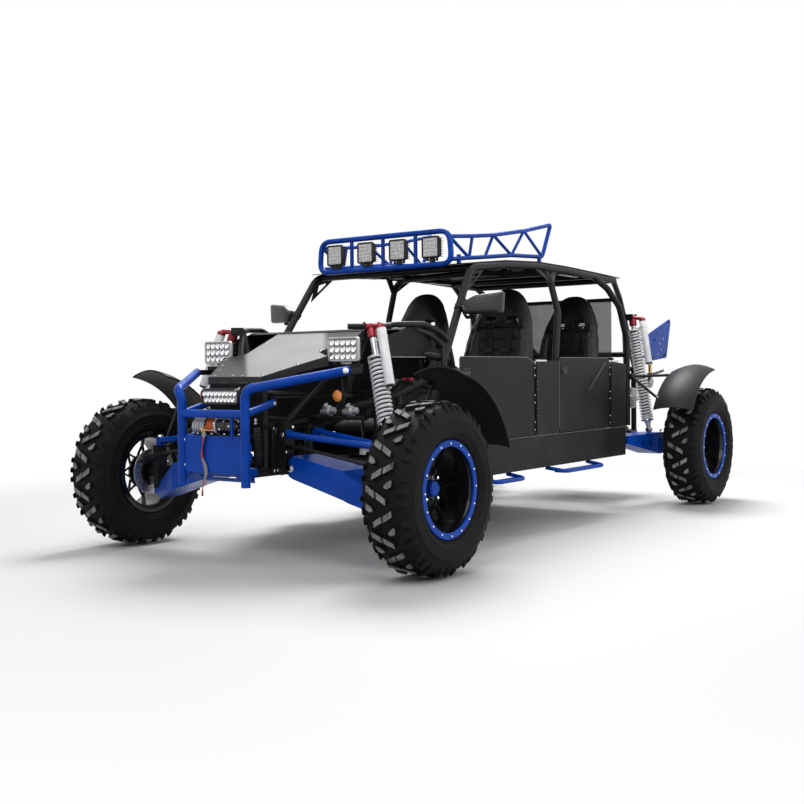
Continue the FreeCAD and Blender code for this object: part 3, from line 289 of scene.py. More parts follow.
def rubber(name):
    """Tyre rubber: fine grain and dust, with the tops of the blocks scrubbed grey."""
    paint = bpy.context.scene.buggy_paint
    made = Finish(name, Specular_IOR_Level=0.1)
    hub = middle("rim_rl")
    _, y, z = made.axes(made.place())
    along = y.math("ABSOLUTE", y) - hub.y
    radius = (along * along + (z - hub.z) * (z - hub.z)) ** 0.5
    grain = made.noise(26.0, 6.0, 0.65)
    worn = radius.smooth(*SCRUBBED) * grain.smooth(0.2, 0.62)
    dust = made.noise(7.0, 5.0, 0.6).smooth(0.45, 0.85) * 0.35
    tint = made.blend(dust, tuple(paint.rubber), (0.022, 0.0215, 0.021, 1.0))
    made.set(Base_Color=made.blend(worn, tint, tuple(paint.worn)), Roughness=0.5 + 0.3 * grain)
    return made.bump(made.noise(420.0, 4.0, 0.7), 0.35, 0.0008)


def metal(color, roughness, grain):
    """Maker of a bare metal with faint smears and grain."""

    def make(name):
        made = Finish(name, metallic=1.0)
        smear = made.noise(20.0, 5.0)
        made.set(Base_Color=made.blend(smear.smooth(0.3, 0.8), shade(color, 1.0), shade(color, 0.82)),
                 Roughness=roughness + 0.15 * smear)
        return made.bump(made.noise(grain, 3.0), 0.1, 0.0004)

    return make


def plain(color, roughness, **fixed):
    """Maker of a moulded or sprayed finish with faint smears and grain."""

    def make(name):
        made = Finish(name, **fixed)
        smear = made.noise(12.0, 5.0).smooth(0.3, 0.8)
        made.set(Base_Color=made.blend(smear, shade(color, 0.9), shade(color, 1.12)),
                 Roughness=roughness - 0.04 + 0.1 * made.noise(35.0, 4.0))
        return made.bump(made.noise(800.0, 2.0), 0.12, 0.0004)

    return make


def frosted(name):
    """Pale moulded lens, mottled by the cells behind it."""
    made = Finish(name, Coat_Weight=0.7, Coat_Roughness=0.06)
    mottle = made.noise(85.0, 3.0, 0.6).smooth(0.32, 0.72)
    made.set(Base_Color=made.blend(mottle, (0.36, 0.36, 0.37, 1.0), (0.78, 0.78, 0.8, 1.0)),
             Roughness=0.18 + 0.14 * made.noise(60.0, 3.0))
    return made.bump(made.noise(260.0, 3.0), 0.4, 0.0008)


# Heights where the strap's grey middle part starts and ends
GREY_FROM, GREY_TO = (0.392, 0.404), (0.496, 0.508)


def webbing(name):
    """Red woven strap, faded grey along its middle part."""
    made = Finish(name, roughness=0.8)
    _, _, z = made.axes(made.place())
    faded = z.smooth(*GREY_FROM) * (1.0 - z.smooth(*GREY_TO))
    weave = (z * 2600.0).math("SINE") * 0.5 + 0.5
    red = made.blend(weave, (0.3, 0.018, 0.02, 1.0), (0.5, 0.045, 0.045, 1.0))
    made.set(Base_Color=made.blend(faded, red, (0.22, 0.21, 0.2, 1.0)),
             Roughness=0.72 + 0.16 * made.noise(90.0, 3.0))
    return made.bump(weave, 0.5, 0.0006)


def braid(name):
    """Braided orange rope."""
    made = Finish(name, roughness=0.7)
    x, y, z = made.axes(made.place())
    strand = ((x + z) * 1900.0).math("SINE") * ((y - z) * 1900.0).math("SINE") * 0.5 + 0.5
    made.set(Base_Color=made.blend(strand, (0.3, 0.07, 0.012, 1.0), (0.72, 0.17, 0.04, 1.0)),
             Roughness=0.6 + 0.2 * made.noise(120.0, 3.0))
    return made.bump(strand, 0.6, 0.0007)


MAKERS = {
    "blue_paint": gloss_paint,
    "black_paint": powder_coat,
    "black_sheet": sheet_paint,
    "grey_sheet": hood_reflection_paint,
    "tyre": rubber,
    "rim_black": plain((0.004, 0.004, 0.0045), 0.22, Specular_IOR_Level=0.35, Coat_Weight=0.2,
                       Coat_Roughness=0.08),
    "spring_white": plain((0.8, 0.81, 0.83), 0.35, Coat_Weight=0.3),
    "silver": metal((0.62, 0.63, 0.65), 0.28, 300.0),
    "red_anodised": plain((0.27, 0.022, 0.035), 0.3, metallic=0.5),
    "cast_silver": metal((0.36, 0.36, 0.37), 0.45, 160.0),
    "seat_cover": plain((0.006, 0.006, 0.0065), 0.5, Specular_IOR_Level=0.3),
    "lamp": plain((0.008, 0.008, 0.0085), 0.4, Specular_IOR_Level=0.3),
    "guard_black": plain((0.008, 0.008, 0.0085), 0.45, Specular_IOR_Level=0.16),
    "amber": plain((0.85, 0.25, 0.01), 0.15, Coat_Weight=0.8),
    "alloy": plain((0.55, 0.56, 0.58), 0.3, metallic=0.35),
    "chrome": metal((0.86, 0.87, 0.88), 0.1, 200.0),
    "brass": metal((0.62, 0.42, 0.14), 0.3, 200.0),
    "bezel_grey": plain((0.5, 0.51, 0.52), 0.3, Coat_Weight=0.3),
    "hook_grey": plain((0.5, 0.5, 0.5), 0.35, metallic=0.5),
    "reflector": plain((0.3, 0.3, 0.31), 0.25),
    "emitter": plain((0.86, 0.86, 0.82), 0.2, Coat_Weight=0.6, Emission_Strength=0.25,
                     Emission_Color=(1.0, 0.98, 0.92, 1.0)),
    "lens": frosted,
    "red_lens": plain((0.5, 0.008, 0.01), 0.15, Coat_Weight=0.8),
    "webbing": webbing,
    "belt": plain((0.022, 0.022, 0.023), 0.75, Specular_IOR_Level=0.2),
    "webbing_black": plain((0.02, 0.02, 0.021), 0.75),
    "dark_glass": plain((0.006, 0.007, 0.008), 0.08, Coat_Weight=1.0),
    # painted highlight: pale grey for thin beads that stand in for the bright lines along edges and creases
    "edge_grey": plain((0.14, 0.14, 0.145), 0.35),
    "grille": plain((0.05, 0.05, 0.052), 0.45),
    "mirror_shell": plain((0.014, 0.014, 0.0145), 0.36),
    "mirror_glass": metal((0.8, 0.82, 0.84), 0.03, 60.0),
    "heat_steel": metal((0.42, 0.36, 0.3), 0.35, 200.0),
    "filter_red": plain((0.3, 0.02, 0.02), 0.6),
    "rope_orange": braid,
    "grip": plain((0.008, 0.008, 0.0085), 0.6, Specular_IOR_Level=0.3),
}


# Mesh building

class Form:
    """A mesh under construction; faces take the finish in hand."""

    def __init__(self, *finishes):
        self.mesh = bmesh.new()
        self.finishes = list(finishes)
        self.index = 0

    def use(self, name):
        if name not in self.finishes:
            self.finishes.append(name)
        self.index = self.finishes.index(name)
        return self

    def face(self, corners):
        self.mesh.faces.new(corners).material_index = self.index

    def skin(self, rings, caps=True, wrap=False):
        """Join closed rings of points; wrap joins the last ring to the first."""
        rows = [[self.mesh.verts.new(point) for point in ring] for ring in rings]
        count = len(rows[0])
        pairs = list(zip(rows, rows[1:]))
        if wrap:
            pairs.append((rows[-1], rows[0]))
        for one, two in pairs:
            for k in range(count):
                j = (k + 1) % count
                self.face([one[k], one[j], two[j], two[k]])
        if caps and not wrap:
            self.face(list(reversed(rows[0])))
            self.face(rows[-1])

    def tube(self, path, radius, sides=12, caps=True, wrap=False):
        """Round bar along a path; radius may be a list, one for each point."""
        radii = radius if isinstance(radius, (list, tuple)) else [radius] * len(path)
        rings = []
        side = None
        for k, point in enumerate(path):
            if wrap:
                way = path[(k + 1) % len(path)] - path[k - 1]
            else:
                way = path[min(k + 1, len(path) - 1)] - path[max(k - 1, 0)]
            way = way.normalized()
            if side is None:
                side = way.orthogonal().normalized()
            side = (side - way * side.dot(way)).normalized()
            other = way.cross(side)
            rings.append([point + radii[k] * (side * math.cos(a) + other * math.sin(a)) for a in turns(sides)])
        self.skin(rings, caps=caps, wrap=wrap)

    def bar(self, start, end, radius, sides=12):
        self.tube([start, end], radius, sides)

    def lathe(self, profile, base, axis, sides=24, wrap=False, caps=True):
        """Turn a list of (along, radius) about the axis through base."""
        axis = Vector(axis).normalized()
        side = axis.orthogonal().normalized()
        other = axis.cross(side)
        rings = []
        for along, radius in profile:
            spot = base + axis * along
            rings.append([spot + radius * (side * math.cos(a) + other * math.sin(a)) for a in turns(sides)])
        self.skin(rings, caps=caps, wrap=wrap)

    def block(self, low, high, bevel=0.0, turn=None):
        """Box between two corners, with bevelled edges; turn places it."""
        made = bmesh.ops.create_cube(self.mesh, size=1.0)
        size = high - low
        for vert in made["verts"]:
            vert.co = (low + high) / 2 + Vector(vert.co[k] * size[k] for k in range(3))
        faces = {face for vert in made["verts"] for face in vert.link_faces}
        for one in faces:
            one.material_index = self.index
        verts = made["verts"]
        if bevel:
            edges = {edge for vert in verts for edge in vert.link_edges}
            cut = bmesh.ops.bevel(self.mesh, geom=list(edges), offset=bevel, segments=2, profile=0.6,
                                  affect="EDGES", material=self.index)
            kept = {vert for vert in verts if vert.is_valid}
            verts = list(kept.union(*(one.verts for one in cut["faces"])))
        if turn is not None:
            bmesh.ops.transform(self.mesh, matrix=turn, verts=verts)

    def nut(self, base, axis, radius, height):
        """Hexagon head with a chamfered top."""
        self.lathe([(0, radius), (height * 0.8, radius), (height, radius * 0.82)], base, axis, 6)

    def dome(self, base, axis, radius, height, sides=12):
        """Button head."""
        profile = [(0, radius), (height * 0.5, radius * 0.92), (height * 0.85, radius * 0.62),
                   (height, radius * 0.2)]
        self.lathe(profile, base, axis, sides)

    def mirror(self):
        """Add the right-hand copy of what is there."""
        geom = self.mesh.verts[:] + self.mesh.edges[:] + self.mesh.faces[:]
        copy = bmesh.ops.duplicate(self.mesh, geom=geom)["geom"]
        verts = [item for item in copy if isinstance(item, bmesh.types.BMVert)]
        faces = [item for item in copy if isinstance(item, bmesh.types.BMFace)]
        bmesh.ops.scale(self.mesh, vec=(-1, 1, 1), verts=verts)
        bmesh.ops.reverse_faces(self.mesh, faces=faces)
        return self

    def placed(self, name):
        """Turn the form into an object of the scene, with its finishes."""
        data = bpy.data.meshes.new(name)
        self.mesh.to_mesh(data)
        self.mesh.free()
        for one in self.finishes:
            data.materials.append(finish(one))
        made = bpy.data.objects.new(name, data)
        bpy.context.scene.collection.objects.link(made)
        return made

    def done(self, name, body, slot=None, angle=35.0):
        """Turn the form into a piece that rides on a body."""
        bmesh.ops.recalc_face_normals(self.mesh, faces=self.mesh.faces)
        made = self.placed(name)
        made.data.shade_smooth()
        made.data.set_sharp_from_angle(angle=math.radians(angle))
        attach(made, body)
        return made


def turns(count, start=0.0):
    """Angles evenly spread round a circle."""
    return [start + 2 * math.pi * k / count for k in range(count)]


def spoke(angle):
    """Way out from a wheel's hub at an angle from straight up."""
    return Vector((0, math.sin(angle), math.cos(angle)))


def at(x, y, z):
    """Point given in millimetres."""
    return Vector((x, y, z)) * MM


def mm(pairs):
    """Profile given in millimetres."""
    return [(a * MM, b * MM) for a, b in pairs]


def outline(half, tall, bend, steps=4):
    """Flat outline with rounded corners about its middle."""
    loop = []
    for k, (sx, sz) in enumerate(((1, 1), (-1, 1), (-1, -1), (1, -1))):
        for j in range(steps + 1):
            a = math.pi / 2 * (k + j / steps)
            loop.append((sx * (half - bend) + bend * math.cos(a), sz * (tall - bend) + bend * math.sin(a)))
    return loop


def rounded(x, z, half, tall, bend, y):
    """Upright loop with rounded corners at depth y, in millimetres."""
    return [at(x + a, y, z + b) for a, b in outline(half, tall, bend)]


def level(x, y, half, deep, bend, z):
    """Level loop with rounded corners at height z, in millimetres."""
    return [at(x + a, y + b, z) for a, b in outline(half, deep, bend)]


def bent(corners, radius, steps=6):
    """Path through corners that are rounded off by a radius in metres."""
    path = [corners[0]]
    for before, corner, after in zip(corners, corners[1:], corners[2:]):
        start = corner + (before - corner).normalized() * radius
        end = corner + (after - corner).normalized() * radius
        for k in range(steps + 1):
            t = k / steps
            path.append(start * (1 - t) ** 2 + corner * 2 * t * (1 - t) + end * t * t)
    path.append(corners[-1])
    return path


def ease(value, low, high):
    """0 below low, 1 above high, with a soft step between."""
    share = min(1.0, max(0.0, (value - low) / (high - low)))
    return share * share * (3 - 2 * share)


def swell(value, power):
    """Power of a number that keeps its sign."""
    return math.copysign(abs(value) ** power, value)


def record_slots():
    """Material slot of each node, as the record gives it."""
    return {part["node"]: part["material_slot"] for part in frame["record"]["subparts"]}


# Operators

class BUGGY_OT_stage(bpy.types.Operator):
    """Camera, soft studio light and the pale floor"""
    bl_idname = "buggy.stage"
    bl_label = "Stage"

    AMBIENT = 0.33
    LENS, SENSOR = 50.14, 36.0
    PLACE = (3.6277, -5.5595, 0.881)
    YAW, PITCH, ROLL = (math.radians(angle) for angle in (35.578, 1.4987, -0.6174))
    FLOOR_RINGS = (0.02, 4.0, 12.0)
    # name, place, aim, size and power
    SOFTBOXES = (("key", (1.5, -5.0, 5.5), (0.0, -0.6, 0.6), 5.0, 230.0),
                 ("side", (6.5, 0.5, 3.2), (0.0, 0.2, 0.7), 4.0, 150.0),
                 ("top", (-1.0, 2.2, 5.6), (0.0, 0.0, 0.4), 3.2, 520.0))

    def execute(self, context):
        scene = context.scene
        scene.view_settings.view_transform = "Standard"
        self.camera(scene)
        self.sky(scene)
        self.floor()
        for lamp in self.SOFTBOXES:
            self.softbox(scene, *lamp)
        return {"FINISHED"}

    def camera(self, scene):
        flat = math.cos(self.PITCH)
        back = Vector((math.sin(self.YAW) * flat, -math.cos(self.YAW) * flat, math.sin(self.PITCH)))
        right = (-back).cross(Z).normalized()
        up = right.cross(-back)
        across = right * math.cos(self.ROLL) + up * math.sin(self.ROLL)
        above = up * math.cos(self.ROLL) - right * math.sin(self.ROLL)
        data = bpy.data.cameras.new("camera")
        data.sensor_width = self.SENSOR
        data.lens = self.LENS
        camera = bpy.data.objects.new("camera", data)
        scene.collection.objects.link(camera)
        turn = Matrix((across, above, back)).transposed().to_4x4()
        camera.matrix_world = Matrix.Translation(self.PLACE) @ turn
        scene.camera = camera

    def sky(self, scene):
        """White where it is seen, straight or mirrored, and dimmed where it lights."""
        world = bpy.data.worlds.new("studio")
        scene.world = world
        world.use_nodes = True
        tree = world.node_tree
        light = tree.nodes["Background"]
        light.inputs["Color"].default_value = (1.0, 1.0, 1.0, 1.0)
        rays = tree.nodes.new("ShaderNodeLightPath")
        total = rays.outputs["Is Camera Ray"]
        for kind in ("Is Glossy Ray", "Is Transmission Ray"):
            add = tree.nodes.new("ShaderNodeMath")
            tree.links.new(total, add.inputs[0])
            tree.links.new(rays.outputs[kind], add.inputs[1])
            total = add.outputs[0]
        scale = tree.nodes.new("ShaderNodeMath")
        scale.operation = "MULTIPLY_ADD"
        scale.use_clamp = True
        tree.links.new(total, scale.inputs[0])
        scale.inputs[1].default_value = 1.0 - self.AMBIENT
        scale.inputs[2].default_value = self.AMBIENT
        tree.links.new(scale.outputs[0], light.inputs["Strength"])

    def floor(self):
        form = Form("floor")
        form.skin([[Vector((r * math.cos(a), r * math.sin(a), 0)) for a in turns(96)] for r in self.FLOOR_RINGS],
                  caps=False)
        form.placed("floor")

    def softbox(self, scene, name, place, target, size, power):
        data = bpy.data.lights.new(name, "AREA")
        data.size = size
        data.energy = power
        lamp = bpy.data.objects.new(name, data)
        lamp.location = place
        lamp.rotation_euler = (Vector(target) - Vector(place)).to_track_quat("-Z", "Y").to_euler()
        scene.collection.objects.link(lamp)


def pale_floor(name):
    """White floor that keeps the shadow and fades into the white behind it."""
    made = Finish(name, color=(0.58, 0.58, 0.58, 1.0), roughness=0.6)
    x, y, _ = made.axes(made.place())
    far = ((x * x + y * y) ** 0.5).smooth(2.5, 4.8)
    shown = made.node("ShaderNodeLightPath", output="Is Camera Ray")
    for kind in ("Is Glossy Ray", "Is Transmission Ray"):
        shown = shown + made.node("ShaderNodeLightPath", output=kind)
    strength = shown * (1.0 - BUGGY_OT_stage.AMBIENT) + BUGGY_OT_stage.AMBIENT
    glow = made.node("ShaderNodeEmission", (), {"Strength": strength})
    surface = Socket(made, made.shader.outputs[0])
    mix = made.node("ShaderNodeMixShader", (), {0: far, 1: surface, 2: glow})
    made.feed(made.tree.nodes["Material Output"].inputs["Surface"], mix)
    return made


MAKERS["floor"] = pale_floor


class BUGGY_OT_finishes(bpy.types.Operator):
    """Finishes on the frame's own pieces"""
    bl_idname = "buggy.finishes"
    bl_label = "Finishes"

    def execute(self, context):
        slots = record_slots()
        for name, node in frame["nodes"].items():
            for place in node.material_slots:
                place.material = finish(slots[name])
        return {"FINISHED"}


class BUGGY_OT_tyres(bpy.types.Operator):
    """Carcass, tread blocks and shoulder lugs of the four tyres"""
    bl_idname = "buggy.tyres"
    bl_label = "Tyres"

    # half of the tread pattern: each block is a list of (across, low, high) stations in mm;
    # the other half is the same, mirrored and half a pitch further round
    BLOCKS = (
        ((-64, -46, -16), (-16, -22, 8)),
        ((-11, -20, 10), (38, 5, 33)),
        ((28, -46, -34), (44, -60, -30), (62, -70, -38), (68, -66, -56)),
        ((84, 12, 30), (98, 8, 38), (112, 6, 40), (120, 4, 42)),
        ((84, -34, -14), (98, -42, -12), (112, -44, -8), (120, -46, -4)),
        ((96, -92, -66), (108, -94, -62), (120, -96, -58)),
    )
    # blocks start this deep in the carcass in metres; the rest is in mm: how far their walls lean,
    # where the shoulder begins, and over what width from there they would sink to nothing
    SUNK, LEAN, SHOULDER, FALL = 0.004, 2.5, 84, 60
    # across in mm and radius in metres, from the middle to the bead
    SIDEWALL = ((0, 0.362), (60, 0.3605), (92, 0.354), (108, 0.340), (118, 0.318), (122.4, 0.302), (125, 0.299),
                (125, 0.290), (123.4, 0.287), (124, 0.268), (122, 0.254), (123.5, 0.251), (121.5, 0.246),
                (118, 0.242), (112, 0.229), (113, 0.226), (108, 0.222), (97, 0.214), (95, 0.196))

    def execute(self, context):
        sizes = context.scene.buggy_sizes
        for key, (body, side) in WHEELS.items():
            made = self.tyre(key, middle("tyre_" + key), side, sizes, body)
            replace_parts(made, "tyre_" + key)
        return {"FINISHED"}

    def carcass(self, across):
        """Radius of the carcass under a point of the tread, across in mm."""
        across = abs(across)
        steps = zip(self.SIDEWALL, self.SIDEWALL[1:])
        (w0, r0), (w1, r1) = next(step for step in steps if across <= step[1][0])
        return r0 + (r1 - r0) * (across - w0) / (w1 - w0)

    def tyre(self, key, hub, side, sizes, body):
        form = Form("tyre")
        half_skin = [(side * w * MM, r) for w, r in self.SIDEWALL]
        form.lathe([(-w, r) for w, r in reversed(half_skin)] + half_skin[1:], hub, X, 96, caps=False)
        pitch = 2 * math.pi / sizes.pitches
        for k in range(sizes.pitches):
            for half in SIDES:
                start = pitch * (k + (0.0 if half > 0 else 0.5))
                for stations in self.BLOCKS:
                    self.lug(form, hub, side, half, start, stations, sizes)
        return form.done("tyre_tread_" + key, body, angle=28.0)

    def lug(self, form, hub, side, half, start, stations, sizes):
        """One block lofted across the tread; its walls lean inwards towards the top."""
        rings = []
        last = len(stations) - 1
        for k, (across, low, high) in enumerate(stations):
            base = self.carcass(across) - self.SUNK
            rise = sizes.lug * max(0.0, 1.0 - max(0.0, abs(across) - self.SHOULDER) / self.FALL)
            top = self.carcass(across) + rise
            tip = across + self.LEAN * ((k == 0) - (k == last))
            ring = []
            for w, s, r in ((across, low, base), (tip, low + self.LEAN, top), (tip, high - self.LEAN, top),
                            (across, high, base)):
                angle = start + s * MM / sizes.crown
                x = hub.x + side * half * w * MM
                ring.append(Vector((x, hub.y - r * math.sin(angle), hub.z + r * math.cos(angle))))
            rings.append(ring)
        form.skin(rings)


class BUGGY_OT_strap(bpy.types.Operator):
    """Webbing that hangs from the winch hook, twisting a little and stitched double at its end"""
    bl_idname = "buggy.strap"
    bl_label = "Winch strap"

    FRONT = -1968
    ROUTE = ((-46, 601.7), (-52, 566), (-62, 532), (-56, 498), (-38, 466), (-34, 432), (-48, 398), (-60, 364),
             (-60, 332))
    SECTION = ((-1, 0), (-0.88, -1), (0.88, -1), (1, 0), (0.88, 1), (-0.88, 1))
    # half thickness of the webbing, and of its last part that is sewn double
    SINGLE, DOUBLE, SEWN = 0.0013, 0.0024, 0.03

    def execute(self, context):
        width = context.scene.buggy_sizes.strap
        line = self.line()
        length = sum((two - one).length for one, two in zip(line, line[1:]))
        form = Form("webbing")
        rings = []
        run = 0.0
        for k, point in enumerate(line):
            run += (point - line[max(k - 1, 0)]).length
            twist = math.radians(12 + 26 * math.sin(9.0 * run / length))
            across = Vector((math.cos(twist), -math.sin(twist), 0)) * width / 2
            thick = Vector((math.sin(twist), math.cos(twist), 0))
            thick *= self.DOUBLE if length - run < self.SEWN else self.SINGLE
            rings.append([point + across * a + thick * b for a, b in self.SECTION])
        form.skin(rings)
        made = form.done("winch_webbing", "chassis", angle=60.0)
        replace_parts(made, "winch_strap")
        return {"FINISHED"}

    def line(self):
        """Points along the strap's smooth line."""
        curve = bpy.data.curves.new("strap_line", "CURVE")
        curve.dimensions = "3D"
        spline = curve.splines.new("NURBS")
        spline.points.add(len(self.ROUTE) - 1)
        for point, (x, z) in zip(spline.points, self.ROUTE):
            point.co = (*at(x, self.FRONT, z), 1.0)
        spline.order_u = 3
        spline.use_endpoint_u = True
        holder = bpy.data.objects.new("strap_line", curve)
        mesh = bpy.data.meshes.new_from_object(holder)
        points = [vert.co.copy() for vert in mesh.vertices]
        bpy.data.objects.remove(holder)
        bpy.data.curves.remove(curve)
        bpy.data.meshes.remove(mesh)
        return points


class BUGGY_OT_rims(bpy.types.Operator):
    """Deep rims with their bolted rings, split spokes, caps, nuts and brake discs"""
    bl_idname = "buggy.rims"
    bl_label = "Rims"

    BARREL = mm([(-105, 206), (-105, 212), (-95.5, 212), (-95.5, 193.2), (95.5, 193.2), (95.5, 208), (96, 184),
                 (88, 182), (84, 179.5), (60, 179), (-20, 178.5), (-90, 176), (-100, 180)])
    RING = mm([(95.6, 187), (95.6, 210.5), (99, 213), (105, 212.5), (107, 210), (107, 186.5), (104.5, 184),
               (98, 184)])
    HUB = mm([(-98, 24), (-98, 62), (-38, 62), (-38, 86), (-30, 90), (-16, 88), (-11, 78), (-10, 40)])
    CAP = mm([(-11, 34), (22, 34), (26, 33), (29, 29), (30, 22), (30.5, 2)])
    NUT = mm([(-14, 12), (-9, 12), (-9, 9.5), (8, 9.5), (13, 8), (16, 4.5), (17, 1)])
    RING_FACE, BOLT_CIRCLE, NUT_CIRCLE = 0.107, 0.198, 0.062
    # stations of the spokes: out, radius, sideways, half width, half depth
    STEM = ((-32, 178, 0, 13, 8), (-30, 150, 0, 8, 8), (-25, 124, 0, 8.5, 8))
    LEG = ((-25, 127, 4, 5, 8), (-19, 104, 13, 5, 7), (-15, 84, 21, 6, 6))
    SECTION = ((-1, -0.5), (-0.6, -1), (0.6, -1), (1, -0.5), (1, 0.5), (0.7, 1), (-0.7, 1), (-1, 0.5))
    DISC = mm([(-96, 72), (-96, 117.5), (-95.5, 118), (-90.5, 118), (-90, 117.5), (-90, 72)])
    DISC_FACE, HOLES = -0.0963, (0.085, 0.097, 0.108)

    def execute(self, context):
        for key, (body, side) in WHEELS.items():
            made = self.rim(key, middle("rim_" + key), side, context.scene.buggy_sizes, body)
            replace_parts(made, "rim_" + key)
        return {"FINISHED"}

    def rim(self, key, box_middle, side, sizes, body):
        hub = Vector((side * WHEEL_X * MM, box_middle.y, box_middle.z))
        out = Vector((side, 0, 0))
        form = Form("rim_black")
        form.lathe(self.BARREL, hub, out, 96, wrap=True)
        form.lathe(self.HUB, hub, out, 48, caps=False)
        for k in range(8):
            angle = math.pi / 4 * k
            self.rib(form, hub, side, angle, self.STEM, 1)
            for sign in SIDES:
                self.rib(form, hub, side, angle, self.LEG, sign)
        form.use("blue_paint").lathe(self.RING, hub, out, 96, wrap=True)
        form.lathe(self.CAP, hub, out, 32)
        form.use("chrome")
        for a in turns(sizes.ring_bolts):
            form.nut(hub + out * self.RING_FACE + spoke(a) * self.BOLT_CIRCLE, out, 0.0052, 0.0042)
        for a in turns(4, math.pi / 4):
            form.lathe(self.NUT, hub + spoke(a) * self.NUT_CIRCLE, out, 12)
        self.disc(form, hub, side)
        return form.done("beadlock_rim_" + key, body, angle=32.0)

    def rib(self, form, hub, side, angle, stations, sign):
        """Bar of a spoke through its stations; sign picks the side of the spoke's middle."""
        radial = spoke(angle)
        round_it = spoke(angle + math.pi / 2)
        rings = []
        for x, r, s, wide, deep in stations:
            ring = []
            for a, b in self.SECTION:
                out = Vector((side * (x + b * deep), 0, 0))
                ring.append(hub + (out + radial * r + round_it * (sign * s + a * wide)) * MM)
            rings.append(ring)
        form.skin(rings)

    def disc(self, form, hub, side):
        """Drilled brake disc on its carrier."""
        out = Vector((side, 0, 0))
        form.use("silver").lathe(self.DISC, hub, out, 64, wrap=True)
        form.use("rim_black")
        for k, a in enumerate(turns(24)):
            spot = hub + out * self.DISC_FACE + spoke(a) * self.HOLES[k % len(self.HOLES)]
            form.lathe(mm([(0, 4), (6.6, 4)]), spot, out, 8)


